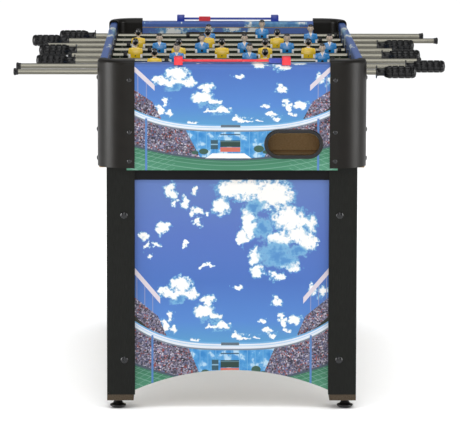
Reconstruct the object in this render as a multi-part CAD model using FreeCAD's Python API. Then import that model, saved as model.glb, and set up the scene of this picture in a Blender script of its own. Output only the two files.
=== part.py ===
# A rod football ("foosball") table: cabinet, legs, eight sliding and turning rods with players,
# ball returns and sliding score counters.
# Frame: origin on the floor under the middle of the table, +Z up, +Y along the playing field,
# +X across it along the rods. The front end is at -Y. All sizes are millimetres.

import FreeCAD, Part
import math
import os

V = FreeCAD.Vector

# ---- Cabinet ----
TABLE_LENGTH = 1219.0        # over the corner covers, along Y
TABLE_WIDTH = 610.0          # over the corner covers, along X
CABINET_TOP = 793.0          # top of the walls above the floor
APRON_HEIGHT = 241.0         # height of the walls
BOARD = 18.0                 # side wall and apron board
GOAL_BOARD = 12.0            # inner board that holds the goal
END_BOX_DEPTH = 52.0         # apron's outer face to the goal board's inner face
END_TOP = 15.0               # thickness of the board that closes the end box
APRON_PAST_ARC = 3.0         # apron's ends beyond the start of the covers' curve
TOP_ROUND = 12.0             # rounding of the apron's outer top edge
EDGE_ROUND = 6.0             # rounding of the other top edges
FIELD_BOARD = 9.0
FIELD_GROOVE = 5.0           # how far the field enters the walls
GOAL_WIDTH = 198.0
GOAL_TOP_BAND = 26.0         # wall left above the goal
GOAL_BOARD_SKIRT = 9.0       # goal board below the underside of the field

# ---- Corner covers ----
COVER_SKIN = 3.0
COVER_RADIUS = 70.0          # plan radius of the outside
COVER_LAP = 15.0             # straight lap beyond the curve
COVER_INNER_ROUND = 24.0     # plan radius of the inside corner
COVER_RISE = 6.5             # above the wall tops
COVER_LIFT = 4.5             # above the walls' bottom edge
COVER_TOP_ROUND = 9.0

# ---- Rods, bushings and players ----
ROD_COUNT = 8
ROD_RADIUS = 6.35            # half-inch tube
ROD_WALL = 1.2
ROD_DEPTH = 30.0             # rod axis below the wall tops
GOALIE_SETBACK = 71.8        # goal face to the first rod
RUNNING_CLEARANCE = 0.05
BUSHING_RADIUS = 10.0
BUSHING_FLANGE_RADIUS = 13.5
BUSHING_OUTER_FLANGE = 4.0
BUSHING_INNER_FLANGE = 3.0
BUMPER_RADIUS = 10.0
BUMPER_LENGTH = 9.0
STOP_CLEARANCE = 0.5         # left between bumper and bushing at the end of the travel
CAP_CLEARANCE = 9.0          # left between end cap and bushing at the end of the travel
TOE_CLEARANCE = 2.85         # toes to the middle of the gap between rods
TOE_FORWARD = 12.0
FIELD_CLEARANCE = 6.9        # toes above the field

# ---- One player, about the rod's axis: width along the rod, heights above its axis ----
PLAYER_HALF_WIDTH = 17.0
PLAYER_HEAD = 42.0
TORSO_HALF_WIDTH = 12.5
TORSO_HALF_DEPTH = 10.0
TORSO_BOTTOM = -13.0
TORSO_TOP = 19.0
TORSO_ROUND = 3.5
ARM_INNER = 9.0              # arm's inner face from the middle
ARM_BACK = 4.5
ARM_FRONT = 5.0
ARM_DROP = 1.0               # arms' ends below the torso's
LIMB_ROUND = 3.0
NECK_RADIUS = 3.6
NECK_SINK = 3.0              # neck starts inside the torso
NECK_LENGTH = 9.0
HEAD_HALF_HEIGHT = 10.8
HEAD_RADIUS = 7.4
HIP_HALF_WIDTH = 10.5
HIP_HALF_DEPTH = 7.0
HIP_BOTTOM = -28.0
HIP_TOP = -9.0
THIGH_HALF_WIDTH = 9.5
THIGH_HALF_DEPTH = 6.0
THIGH_TOP = -24.0
ANKLE_HALF_WIDTH = 7.5
ANKLE_HALF_DEPTH = 5.0
ANKLE_HEIGHT = 9.0           # above the soles
FOOT_HALF_WIDTH = 8.5
FOOT_HEEL = 6.5
FOOT_HEIGHT = 11.0
FOOT_ROUND = 2.0
PIN_RADIUS = 1.5
PIN_BACK = 8.0               # blind end of the pin behind the rod's axis
PIN_HEAD_RADIUS = 3.0
PIN_HEAD = 1.4

# Kinds of rod: players, slide each way, and outermost player to the bumper's outer face.
ROD_KINDS = {
    "goalie": {"players": 1, "travel": 87.0, "bumper": None},
    "defence": {"players": 2, "travel": 123.5, "bumper": 28.6},
    "attack": {"players": 3, "travel": 80.0, "bumper": 28.6},
    "midfield": {"players": 5, "travel": 44.5, "bumper": 28.6},
}
# From the front end: kind, side of the handle, where the rod has been slid to, its turn, and the
# room left between handle and bushing when the rod is pushed in.
# Handles on the +X side belong to the team that faces +Y.
RODS = [
    ("goalie", 1, -85.4, 40.0, 21.5),
    ("defence", 1, -49.8, 0.0, 24.5),
    ("attack", -1, 44.4, 0.0, 25.0),
    ("midfield", 1, -19.8, 0.0, 33.0),
    ("midfield", -1, 36.2, 0.0, 58.0),
    ("attack", 1, -53.0, 0.0, 33.0),
    ("defence", -1, 78.0, 0.0, 50.0),
    ("goalie", -1, 86.5, 0.0, 31.5),
]

# ---- Handles and end caps ----
HANDLE_FLANGE = 2.5
HANDLE_NECK = 20.0
HANDLE_NECK_RADIUS = 9.5
HANDLE_GRIP_RADIUS = 14.6
HANDLE_VALLEY_RADIUS = 12.6
HANDLE_BULGES = 5
HANDLE_BULGE = 14.4
HANDLE_SWELL = 0.22          # share of a bulge in which it swells, and in which it falls
HANDLE_LAST_FLAT = 0.6       # share of the last bulge before the domed end
HANDLE_DOME = 1.6            # length of the last step of the dome
HANDLE_DOME_RADII = (0.7, 0.35)   # shares of the grip's radius at that step
HANDLE_SOCKET = 78.0         # how far the rod enters the handle
CAP_LENGTH = 11.0
CAP_OVER_ROD = 2.05          # cap's largest radius beyond the rod's
CAP_RADIUS = ROD_RADIUS + CAP_OVER_ROD
CAP_WALL = 2.0
CAP_WAIST = 1.0              # cap's waist and lip inside its largest radius
CAP_LIP = 0.6
CAP_END_ROUND = 2.4

# ---- Ball return ----
PORT_WIDTH = 133.5           # bezel outside
PORT_HEIGHT = 67.0
PORT_RIM = 8.4
PORT_PROUD = 3.0
PORT_ROUND = 2.1             # rounding of the rim's outer edge
PORT_SLEEVE = 2.5
PORT_MARGIN = 14.5           # bezel to the corner cover
PORT_LIFT = 26.0             # bezel above the apron's bottom edge
CHUTE_BOARD = 9.0
CHUTE_DEPTH = 92.0           # behind the apron
CHUTE_SIDE_GAP = 6.0         # past the goal and past the port
CHUTE_FALL = 18.0            # fall of the chute's floor towards the port
CHUTE_CLEARANCE = 1.0        # chute to the underside of the field

# ---- Legs ----
LEG_SIZE = 63.6
LEG_BOARD = 15.0
LEG_INSET = 24.5             # leg's front behind the apron's face
LEG_TOP_GAP = 7.0            # leg top below the goal board
LEG_BOTTOM = 33.0            # leg boards' lower edge above the floor
BLOCK_BOTTOM = 19.5          # foot block's lower face above the floor
BLOCK_INSET = 3.0
BLOCK_PLUG = 45.0            # height of the foot block inside the leg
LEG_PANEL = 12.0
ARCH_APEX = 87.3
ARCH_SPRING = 41.4
RAIL_HEIGHT = 25.3
RAIL_BOARD = 13.0
BOLT_RADIUS = 4.0
BOLT_HEAD_RADIUS = 8.0
BOLT_HEAD = 3.5
BOLT_DOME = 2.45             # rounding of the head
BOLT_LENGTH = 30.0
BOLT_CLEARANCE = 0.25
LEG_BOLT_DROP = 106.3        # upper bolt below the walls
LEG_BOLT_RISE = 80.0         # lower bolt above the leg boards' lower edge
WALL_BOLT_RISES = (30.0, 85.0)

# ---- Levelling feet ----
FOOT_RADIUS = 18.5
FOOT_FLAT_RADIUS = 11.0
FOOT_NECK_RADIUS = 8.5
FOOT_RIM_HEIGHT = 7.0
FOOT_GAP = 0.5               # foot's neck to the foot block when screwed in
FOOT_SOLE_RISE = 2.4         # slope of the domed sole
FOOT_SOLE_STEP = 2.6
FOOT_RIM_STRAIGHT = 2.0
FOOT_SHOULDER = 12.0         # height where the cone meets the neck
FOOT_SHOULDER_STEP = 2.0
FOOT_RIM_EASE = 0.6
FOOT_STUD_RADIUS = 4.0
FOOT_STUD = 40.0
FOOT_CLEARANCE = 0.08
FOOT_OFFSET = 7.4            # foot's axis outwards of the leg's middle

# ---- Cover screws ----
SCREW_RADIUS = 2.0
SCREW_LENGTH = 16.0
SCREW_HEAD_RADIUS = 4.85
SCREW_HEAD = 2.4
SCREW_DOME = 1.44            # rounding of the head
SCREW_EDGE = 12.0            # from the cover's free edge
SCREW_LEVELS = (0.065, 0.335, 0.82)   # share of the cover's height, up from its bottom

# ---- Score counters ----
SCORE_POST_INNER = 111.8     # half the distance between the posts
SCORE_POST = 19.2
SCORE_POST_DEPTH = 34.0
SCORE_POST_HEIGHT = 14.8
SCORE_LIP = 2.8              # post's lip over the outer edge
SCORE_LIP_BOARD = 1.6
SCORE_BAR_LIFT = 3.6         # bar above the wall top
SCORE_BAR_HEIGHT = 5.0
SCORE_BAR_DEPTH = 10.0
SCORE_ROUND = 1.5
SCORE_NOTCHES = 9
SCORE_NOTCH_WIDTH = 2.0
SCORE_NOTCH_DEPTH = 1.0
MARKER_LENGTH = 29.2
MARKER_WALL = 2.4
MARKER_ROUND = 1.0
MARKER_CLEARANCE = 0.35
MARKER_FRONT = 96.8          # where the two counters stand, from the middle of the bar
MARKER_REAR = -59.8

# ---- Worked-out places ----
outer_x = TABLE_WIDTH / 2 - COVER_SKIN
inner_x = outer_x - BOARD
outer_y = TABLE_LENGTH / 2 - COVER_SKIN
apron_inner_y = outer_y - BOARD
goal_face_y = outer_y - END_BOX_DEPTH
goal_back_y = goal_face_y + GOAL_BOARD
cabinet_bottom = CABINET_TOP - APRON_HEIGHT
arc_x = TABLE_WIDTH / 2 - COVER_RADIUS
arc_y = TABLE_LENGTH / 2 - COVER_RADIUS
lap_x = arc_x - COVER_LAP
lap_y = arc_y - COVER_LAP
cover_top = CABINET_TOP + COVER_RISE
cover_bottom = cabinet_bottom + COVER_LIFT
rod_z = CABINET_TOP - ROD_DEPTH
rod_pitch = 2 * (goal_face_y - GOALIE_SETBACK) / (ROD_COUNT - 1)
toe_reach = rod_pitch / 2 - TOE_CLEARANCE
sole_drop = math.sqrt(toe_reach ** 2 - TOE_FORWARD ** 2)
field_top = rod_z - toe_reach - FIELD_CLEARANCE
field_bottom = field_top - FIELD_BOARD
goal_board_bottom = field_bottom - GOAL_BOARD_SKIRT
goal_top = CABINET_TOP - GOAL_TOP_BAND
stop_x = inner_x - BUSHING_INNER_FLANGE
flange_x = outer_x + BUSHING_OUTER_FLANGE
port_x = lap_x - PORT_MARGIN - PORT_WIDTH / 2
port_z = cabinet_bottom + PORT_LIFT + PORT_HEIGHT / 2
leg_front_y = outer_y - LEG_INSET
leg_inner_x = inner_x - LEG_SIZE
leg_top = goal_board_bottom - LEG_TOP_GAP
panel_front_y = leg_front_y - LEG_BOARD
score_y = outer_y - SCORE_POST_DEPTH / 2


def block(x0, x1, y0, y1, z0, z1):
    """A box between two corners given in any order."""
    low = V(min(x0, x1), min(y0, y1), min(z0, z1))
    return Part.makeBox(abs(x1 - x0), abs(y1 - y0), abs(z1 - z0), low)


def rod_shape(radius, start, end):
    """A round bar between two points."""
    return Part.makeCylinder(radius, (end - start).Length, start, end - start)


def join(shapes):
    """Fuse shapes that touch into one clean solid."""
    return shapes[0].fuse(shapes[1:]).removeSplitter()


def round_edges(shape, radius, chosen):
    """Round the edges whose middle point passes the test."""
    edges = [e for e in shape.Edges if chosen(e.CenterOfMass, e)]
    return shape.makeFillet(radius, edges)


def prism(points, z0, z1):
    """Extrude an outline of (x, y) points; three points in a tuple of tuples make an arc."""
    edges = []
    here = V(points[0][0], points[0][1], z0)
    for step in points[1:] + points[:1]:
        if isinstance(step[0], tuple):
            middle = V(step[0][0], step[0][1], z0)
            end = V(step[1][0], step[1][1], z0)
            edges.append(Part.Arc(here, middle, end).toShape())
        else:
            end = V(step[0], step[1], z0)
            if (end - here).Length > 1e-6:
                edges.append(Part.LineSegment(here, end).toShape())
        here = end
    face = Part.Face(Part.Wire(edges))
    return face.extrude(V(0, 0, z1 - z0))


def turned(profile, axis_start, axis):
    """A solid of revolution from (along, radius) points that start and end on the axis."""
    points = [V(a, r, 0) for a, r in profile]
    points.append(points[0])
    solid = Part.Face(Part.makePolygon(points)).revolve(V(0, 0, 0), V(1, 0, 0), 360)
    place = FreeCAD.Placement(axis_start, FreeCAD.Rotation(V(1, 0, 0), axis))
    solid.Placement = place
    return solid


def save(name, shapes):
    """Write one node: a single solid, or several separate ones."""
    shape = shapes[0] if len(shapes) == 1 else Part.Compound(shapes)
    shape.exportStep(f"parts/{name}.step")


def rod_y(index):
    """Y of a rod, counted from 0 at the front."""
    return (index - (ROD_COUNT - 1) / 2) * rod_pitch


def player_places(kind):
    """X of each player about the middle of its rod."""
    count = kind["players"]
    if count == 1:
        return [0.0]
    span = 2 * (stop_x - STOP_CLEARANCE - kind["travel"] - kind["bumper"])
    return [span * (n / (count - 1) - 0.5) for n in range(count)]


def bumper_face(kind):
    """Distance of the bumper's outer face from the middle of its rod."""
    return stop_x - STOP_CLEARANCE - kind["travel"]


# ---------------- Cabinet ----------------

def inside_covers():
    """The room inside the curved covers, which eases the boards' outer ends."""
    room = block(-outer_x, outer_x, -outer_y, outer_y, cabinet_bottom, CABINET_TOP)
    upright = COVER_RADIUS - COVER_SKIN
    return round_edges(room, upright, lambda c, e: abs(c.x) > outer_x - 1 and abs(c.y) > outer_y - 1)


def side_wall(side):
    """Long wall with the rod holes, a groove for the field and rounded top edges."""
    wall = block(side * inner_x, side * outer_x, -goal_face_y, goal_face_y, cabinet_bottom, CABINET_TOP)
    wall = round_edges(wall, EDGE_ROUND, lambda c, e: c.z > CABINET_TOP - 1 and abs(c.y) < 1)
    wall = wall.common(inside_covers())
    cuts = []
    for index in range(ROD_COUNT):
        start = V(side * (inner_x - 1), rod_y(index), rod_z)
        end = V(side * (outer_x + 1), rod_y(index), rod_z)
        cuts.append(rod_shape(BUSHING_RADIUS, start, end))
    cuts.append(block(side * (inner_x - 1), side * (inner_x + FIELD_GROOVE), -goal_face_y - 1,
                      goal_face_y + 1, field_bottom, field_top))
    cuts += [cover_screw_hole(side, end, level, "side") for end in (-1, 1) for level in SCREW_LEVELS]
    for end in (-1, 1):
        cuts += [wall_bolt(side, end, rise)[1] for rise in WALL_BOLT_RISES]
    return wall.cut(cuts)


def apron(end):
    """End board with the box top in one piece, and the opening for the ball return."""
    half = arc_x + APRON_PAST_ARC
    upright = block(-half, half, end * apron_inner_y, end * outer_y, cabinet_bottom, CABINET_TOP)
    top = block(-half, half, end * goal_face_y, end * outer_y, CABINET_TOP - END_TOP, CABINET_TOP)
    board = join([upright, top])
    board = round_edges(board, TOP_ROUND, lambda c, e: c.z > CABINET_TOP - 1 and abs(c.y) > outer_y - 1
                        and abs(c.x) < 1)
    board = round_edges(board, EDGE_ROUND, lambda c, e: c.z > CABINET_TOP - 1
                        and abs(c.y) < goal_face_y + 1 and abs(c.x) < 1)
    board = board.common(inside_covers())
    cuts = [capsule(end, PORT_WIDTH - 2 * PORT_RIM + 2 * PORT_SLEEVE,
                    PORT_HEIGHT - 2 * PORT_RIM + 2 * PORT_SLEEVE, apron_inner_y - 1, outer_y + 1)]
    cuts += [cover_screw_hole(side, end, level, "end") for side in (-1, 1) for level in SCREW_LEVELS]
    return board.cut(cuts)


def goal_board(end):
    """Inner end board: the goal is a notch that stays open below the field for the ball."""
    half = outer_x - COVER_SKIN - EDGE_ROUND
    board = block(-half, half, end * goal_face_y, end * goal_back_y, goal_board_bottom,
                  CABINET_TOP - END_TOP)
    notch = block(-GOAL_WIDTH / 2, GOAL_WIDTH / 2, end * (goal_face_y - 1), end * (goal_back_y + 1),
                  goal_board_bottom - 1, goal_top)
    groove = block(-inner_x, inner_x, end * (goal_face_y - 1), end * (goal_face_y + FIELD_GROOVE),
                   field_bottom, field_top)
    return board.cut([notch, groove])


def playfield():
    """Field board, let into the walls, stopping at the goal line so the ball drops behind it."""
    field = block(-inner_x, inner_x, -goal_face_y - FIELD_GROOVE, goal_face_y + FIELD_GROOVE,
                  field_bottom, field_top)
    tongues = [block(side * inner_x, side * (inner_x + FIELD_GROOVE), -goal_face_y, goal_face_y,
                     field_bottom, field_top) for side in (-1, 1)]
    notches = [block(-GOAL_WIDTH / 2, GOAL_WIDTH / 2, end * goal_face_y,
                     end * (goal_face_y + FIELD_GROOVE + 1), field_bottom - 1, field_top + 1)
               for end in (-1, 1)]
    return join([field] + tongues).cut(notches)


def channel_outline(side, end, skin):
    """Plan of a corner cover, or of the space inside it when skin is not zero."""
    radius = COVER_RADIUS - skin
    outer_edge_x = arc_x + radius
    outer_edge_y = arc_y + radius
    inner_edge_x = inner_x - COVER_SKIN + skin
    inner_edge_y = goal_face_y - COVER_SKIN + skin
    inner_round = COVER_INNER_ROUND - skin
    bend = math.cos(math.pi / 4)
    outer_middle = (arc_x + radius * bend, arc_y + radius * bend)
    inner_centre = (inner_edge_x - inner_round, inner_edge_y - inner_round)
    inner_middle = (inner_centre[0] + inner_round * bend, inner_centre[1] + inner_round * bend)
    points = [
        (lap_x, outer_edge_y), (arc_x, outer_edge_y), (outer_middle, (outer_edge_x, arc_y)),
        (outer_edge_x, lap_y), (inner_edge_x, lap_y), (inner_edge_x, inner_centre[1]),
        (inner_middle, (inner_centre[0], inner_edge_y)), (lap_x, inner_edge_y),
    ]
    flipped = []
    for point in points:
        if isinstance(point[0], tuple):
            flipped.append(tuple((side * x, end * y) for x, y in point))
        else:
            flipped.append((side * point[0], end * point[1]))
    return flipped


def corner_cover(side, end):
    """Moulded shell: full height outside, over the wall tops, and down inside to the field."""
    whole = prism(channel_outline(side, end, 0), field_top, cover_top)
    space = prism(channel_outline(side, end, COVER_SKIN), field_top, cover_top - COVER_SKIN)

    def along_top(height):
        return lambda c, e: (c.z > height - 0.01 and abs(abs(c.x) - lap_x) > 0.01
                             and abs(abs(c.y) - lap_y) > 0.01)

    whole = round_edges(whole, COVER_TOP_ROUND, along_top(cover_top))
    space = round_edges(space, COVER_TOP_ROUND - COVER_SKIN, along_top(cover_top - COVER_SKIN))
    upper = whole.cut(space)
    # The skirt goes out along the outer line and back along the inner one, arc reversed.
    outer = channel_outline(side, end, 0)
    inner = channel_outline(side, end, COVER_SKIN)
    outline = outer[:4] + [inner[3], inner[2][1], (inner[2][0], inner[1]), inner[0]]
    skirt = prism(outline, cover_bottom, field_top)
    shell = join([upper, skirt])
    cuts = [cover_screw_hole(side, end, level, face) for face in ("end", "side")
            for level in SCREW_LEVELS]
    return shell.cut(cuts)


def cover_screw_axis(side, end, level, face):
    """Head seat and inward direction of one cover screw."""
    z = cover_bottom + level * (cover_top - cover_bottom)
    if face == "end":
        return V(side * (lap_x + SCREW_EDGE), end * TABLE_LENGTH / 2, z), V(0, -end, 0)
    return V(side * TABLE_WIDTH / 2, end * (lap_y + SCREW_EDGE), z), V(-side, 0, 0)


def cover_screw_hole(side, end, level, face):
    """The space that a cover screw's shank takes."""
    seat, inward = cover_screw_axis(side, end, level, face)
    return rod_shape(SCREW_RADIUS, seat - inward, seat + inward * SCREW_LENGTH)


def cover_screw(side, end, level, face):
    """Pan-head screw with a domed head."""
    seat, inward = cover_screw_axis(side, end, level, face)
    shank = rod_shape(SCREW_RADIUS, seat, seat + inward * SCREW_LENGTH)
    head = rod_shape(SCREW_HEAD_RADIUS, seat - inward * SCREW_HEAD, seat)
    head = round_edges(head, SCREW_DOME, lambda c, e: (c - seat).Length > SCREW_HEAD / 2)
    return join([head, shank])


# ---------------- Ball return ----------------

def capsule(end, width, height, y0, y1):
    """A bar with round ends through an end board at the port."""
    radius = height / 2
    half = width / 2 - radius
    middle = block(port_x - half, port_x + half, end * y0, end * y1, port_z - radius, port_z + radius)
    ends = [rod_shape(radius, V(port_x + s * half, end * y0, port_z), V(port_x + s * half, end * y1, port_z))
            for s in (-1, 1)]
    return join([middle] + ends)


def port_bezel(end):
    """Moulded rim round the ball opening, with a sleeve through the board."""
    rim = capsule(end, PORT_WIDTH, PORT_HEIGHT, outer_y, outer_y + PORT_PROUD)
    rim = round_edges(rim, PORT_ROUND, lambda c, e: abs(c.y) > outer_y + PORT_PROUD - 0.01)
    sleeve_width = PORT_WIDTH - 2 * PORT_RIM
    sleeve_height = PORT_HEIGHT - 2 * PORT_RIM
    sleeve = capsule(end, sleeve_width + 2 * PORT_SLEEVE, sleeve_height + 2 * PORT_SLEEVE,
                     apron_inner_y, outer_y)
    opening = capsule(end, sleeve_width, sleeve_height, apron_inner_y - 1, outer_y + PORT_PROUD + 1)
    return join([rim, sleeve]).cut(opening)


def ball_chute(end):
    """Open box under the goal whose floor falls towards the port."""
    board = CHUTE_BOARD
    low_x = -GOAL_WIDTH / 2 - CHUTE_SIDE_GAP - board
    high_x = port_x + PORT_WIDTH / 2 - PORT_RIM + CHUTE_SIDE_GAP + board
    back_y = apron_inner_y - CHUTE_DEPTH
    top = field_bottom - CHUTE_CLEARANCE
    floor_low = port_z - PORT_HEIGHT / 2 + PORT_RIM
    outside = block(low_x, high_x, end * back_y, end * apron_inner_y, floor_low - board, top)
    slope_start = port_x - PORT_WIDTH / 2
    floor_line = [
        V(low_x + board, 0, floor_low + CHUTE_FALL), V(slope_start, 0, floor_low),
        V(high_x - board, 0, floor_low), V(high_x - board, 0, top + 1), V(low_x + board, 0, top + 1),
    ]
    floor_line = [p + V(0, end * (back_y + board), 0) for p in floor_line]
    hollow = Part.Face(Part.makePolygon(floor_line + floor_line[:1]))
    hollow = hollow.extrude(V(0, end * (CHUTE_DEPTH - board + 1), 0))
    # The goal board's lower edge passes through the box's ends.
    pass_through = block(low_x - 1, high_x + 1, end * (goal_face_y - BOLT_CLEARANCE),
                         end * (goal_back_y + BOLT_CLEARANCE), goal_board_bottom - 1, top + 1)
    return outside.cut([hollow, pass_through])


# ---------------- Legs ----------------

def leg(side, end):
    """L-shaped leg of two boards made as one, with the bare foot block that plugs it."""
    back_y = leg_front_y - LEG_SIZE
    front = block(side * leg_inner_x, side * inner_x, end * panel_front_y, end * leg_front_y,
                  LEG_BOTTOM, leg_top)
    flank = block(side * (inner_x - LEG_BOARD), side * inner_x, end * back_y, end * panel_front_y,
                  LEG_BOTTOM, leg_top)
    profile = join([front, flank])
    for z in leg_bolt_levels():
        profile = profile.cut(leg_bolt(side, end, z)[1])
    for rise in WALL_BOLT_RISES:
        profile = profile.cut(wall_bolt(side, end, rise)[1])
    plate = block(side * (leg_inner_x + BLOCK_INSET), side * inner_x, end * (back_y + BLOCK_INSET),
                  end * leg_front_y, BLOCK_BOTTOM, LEG_BOTTOM)
    plug = block(side * (leg_inner_x + BLOCK_INSET), side * (inner_x - LEG_BOARD),
                 end * (back_y + BLOCK_INSET), end * panel_front_y, LEG_BOTTOM, LEG_BOTTOM + BLOCK_PLUG)
    x, y = foot_axis(side, end)
    stud_hole = rod_shape(FOOT_STUD_RADIUS + FOOT_CLEARANCE, V(x, y, 0),
                          V(x, y, BLOCK_BOTTOM + FOOT_STUD + 2))
    foot_block = join([plate, plug]).cut(stud_hole)
    return [profile.cut(stud_hole), foot_block]


def leg_bolt_levels():
    """Heights of the bolts that hold the end panel to the legs."""
    return cabinet_bottom - LEG_BOLT_DROP, LEG_BOTTOM + LEG_BOLT_RISE


def bolt(seat, inward):
    """Domed bolt, and the hole that its shank needs."""
    shank = rod_shape(BOLT_RADIUS, seat, seat + inward * BOLT_LENGTH)
    head = rod_shape(BOLT_HEAD_RADIUS, seat - inward * BOLT_HEAD, seat)
    head = round_edges(head, BOLT_DOME, lambda c, e: (c - seat).Length > BOLT_HEAD / 2)
    hole = rod_shape(BOLT_RADIUS, seat - inward, seat + inward * BOLT_LENGTH)
    return join([head, shank]), hole


def leg_bolt(side, end, z):
    """Bolt through the front of a leg into the end panel behind it."""
    x = side * (inner_x - (LEG_SIZE + LEG_BOARD) / 2)
    return bolt(V(x, end * leg_front_y, z), V(0, -end, 0))


def wall_bolt(side, end, rise):
    """Bolt from inside a leg into the side wall."""
    y = end * (panel_front_y - (LEG_SIZE - LEG_BOARD) / 2)
    return bolt(V(side * (inner_x - LEG_BOARD), y, cabinet_bottom + rise), V(side, 0, 0))


def leg_panel(end):
    """Lower end panel with an arched bottom edge, and the rail above it between the legs."""
    half = inner_x - LEG_BOARD
    y0 = end * panel_front_y
    y1 = end * (panel_front_y - LEG_PANEL)
    panel = block(-half, half, y0, y1, ARCH_SPRING, cabinet_bottom)
    rise = ARCH_APEX - ARCH_SPRING
    radius = (leg_inner_x ** 2 + rise ** 2) / (2 * rise)
    centre = ARCH_APEX - radius
    arch = rod_shape(radius, V(0, end * (panel_front_y + 1), centre),
                     V(0, end * (panel_front_y - LEG_PANEL - 1), centre))
    holes = [leg_bolt(side, end, z)[1] for side in (-1, 1) for z in leg_bolt_levels()]
    # The panel stops above the foot blocks.
    notches = [block(side * (leg_inner_x + BLOCK_INSET - BOLT_CLEARANCE), side * (half + 1),
                     end * (panel_front_y + 1), end * (panel_front_y - LEG_PANEL - 1), 0,
                     LEG_BOTTOM + BLOCK_PLUG + BOLT_CLEARANCE) for side in (-1, 1)]
    rail = block(-leg_inner_x, leg_inner_x, y0, end * (panel_front_y + RAIL_BOARD),
                 cabinet_bottom - RAIL_HEIGHT, cabinet_bottom)
    return [panel.cut([arch] + holes + notches), rail]


def foot_axis(side, end):
    """Plan place of a levelling foot."""
    x = inner_x - LEG_SIZE / 2 + FOOT_OFFSET
    y = leg_front_y - LEG_SIZE / 2 + FOOT_OFFSET
    return side * x, end * y


def levelling_foot(side, end):
    """Turned foot on a threaded stud."""
    x, y = foot_axis(side, end)
    top = BLOCK_BOTTOM - FOOT_GAP
    stud_top = BLOCK_BOTTOM + FOOT_STUD
    profile = [
        (0, 0), (0, FOOT_FLAT_RADIUS), (FOOT_SOLE_RISE, FOOT_RADIUS - FOOT_SOLE_STEP),
        (FOOT_RIM_HEIGHT - FOOT_RIM_STRAIGHT, FOOT_RADIUS),
        (FOOT_RIM_HEIGHT, FOOT_RADIUS - FOOT_RIM_EASE),
        (FOOT_SHOULDER, FOOT_NECK_RADIUS + FOOT_SHOULDER_STEP),
        (top - FOOT_SHOULDER_STEP, FOOT_NECK_RADIUS), (top, FOOT_NECK_RADIUS),
        (top, FOOT_STUD_RADIUS), (stud_top, FOOT_STUD_RADIUS), (stud_top, 0),
    ]
    return turned(profile, V(x, y, 0), V(0, 0, 1))


# ---------------- Score counters ----------------

def score_rail(end):
    """Two posts with lips over the end's outer edge, and the notched bar between them."""
    posts = []
    for s in (-1, 1):
        x0 = s * SCORE_POST_INNER
        x1 = s * (SCORE_POST_INNER + SCORE_POST)
        body = block(x0, x1, end * (score_y - SCORE_POST_DEPTH / 2), end * (outer_y + SCORE_LIP_BOARD),
                     CABINET_TOP - SCORE_LIP, CABINET_TOP + SCORE_POST_HEIGHT)
        body = round_edges(body, SCORE_ROUND, lambda c, e: c.z > CABINET_TOP + SCORE_POST_HEIGHT - 1)
        posts.append(body.cut(end_top_shape(end)))
    bar = block(-SCORE_POST_INNER, SCORE_POST_INNER, end * (score_y - SCORE_BAR_DEPTH / 2),
                end * (score_y + SCORE_BAR_DEPTH / 2), CABINET_TOP + SCORE_BAR_LIFT,
                CABINET_TOP + SCORE_BAR_LIFT + SCORE_BAR_HEIGHT)
    bar_top = CABINET_TOP + SCORE_BAR_LIFT + SCORE_BAR_HEIGHT
    step = 2 * SCORE_POST_INNER / (SCORE_NOTCHES + 1)
    middles = [step * n - SCORE_POST_INNER for n in range(1, SCORE_NOTCHES + 1)]
    notches = [block(x - SCORE_NOTCH_WIDTH / 2, x + SCORE_NOTCH_WIDTH / 2,
                     end * (score_y - SCORE_BAR_DEPTH), end * (score_y + SCORE_BAR_DEPTH),
                     bar_top - SCORE_NOTCH_DEPTH, bar_top + 1) for x in middles]
    return join(posts + [bar.cut(notches)])


def end_top_shape(end):
    """The rounded end top as a solid, to seat the posts on."""
    body = block(-lap_x, lap_x, end * (goal_face_y - 1), end * outer_y, CABINET_TOP - APRON_HEIGHT / 2,
                 CABINET_TOP)
    return round_edges(body, TOP_ROUND, lambda c, e: c.z > CABINET_TOP - 1 and abs(c.y) > outer_y - 1
                       and abs(c.x) < 1)


def score_marker(end, middle):
    """Counter that wraps the bar and slides along it."""
    bar_low = CABINET_TOP + SCORE_BAR_LIFT
    clear = MARKER_CLEARANCE
    half_depth = SCORE_BAR_DEPTH / 2 + clear
    hollow = block(middle - MARKER_LENGTH, middle + MARKER_LENGTH, end * (score_y - half_depth),
                   end * (score_y + half_depth), bar_low - clear, bar_low + SCORE_BAR_HEIGHT + clear)
    body = block(middle - MARKER_LENGTH / 2, middle + MARKER_LENGTH / 2,
                 end * (score_y - half_depth - MARKER_WALL), end * (score_y + half_depth + MARKER_WALL),
                 bar_low - clear - MARKER_WALL, bar_low + SCORE_BAR_HEIGHT + clear + MARKER_WALL)
    body = round_edges(body, MARKER_ROUND, lambda c, e: abs(c.x - middle) < 1)
    return body.cut(hollow)


# ---------------- Rods ----------------

def bushing(side, index):
    """Flanged nylon bush in a side wall."""
    start = V(side * stop_x, rod_y(index), rod_z)
    seat = V(side * inner_x, rod_y(index), rod_z)
    face = V(side * outer_x, rod_y(index), rod_z)
    end = V(side * flange_x, rod_y(index), rod_z)
    body = join([rod_shape(BUSHING_FLANGE_RADIUS, start, seat), rod_shape(BUSHING_RADIUS, seat, face),
                 rod_shape(BUSHING_FLANGE_RADIUS, face, end)])
    return body.cut(rod_shape(ROD_RADIUS + RUNNING_CLEARANCE, start - V(side, 0, 0), end + V(side, 0, 0)))


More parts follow.
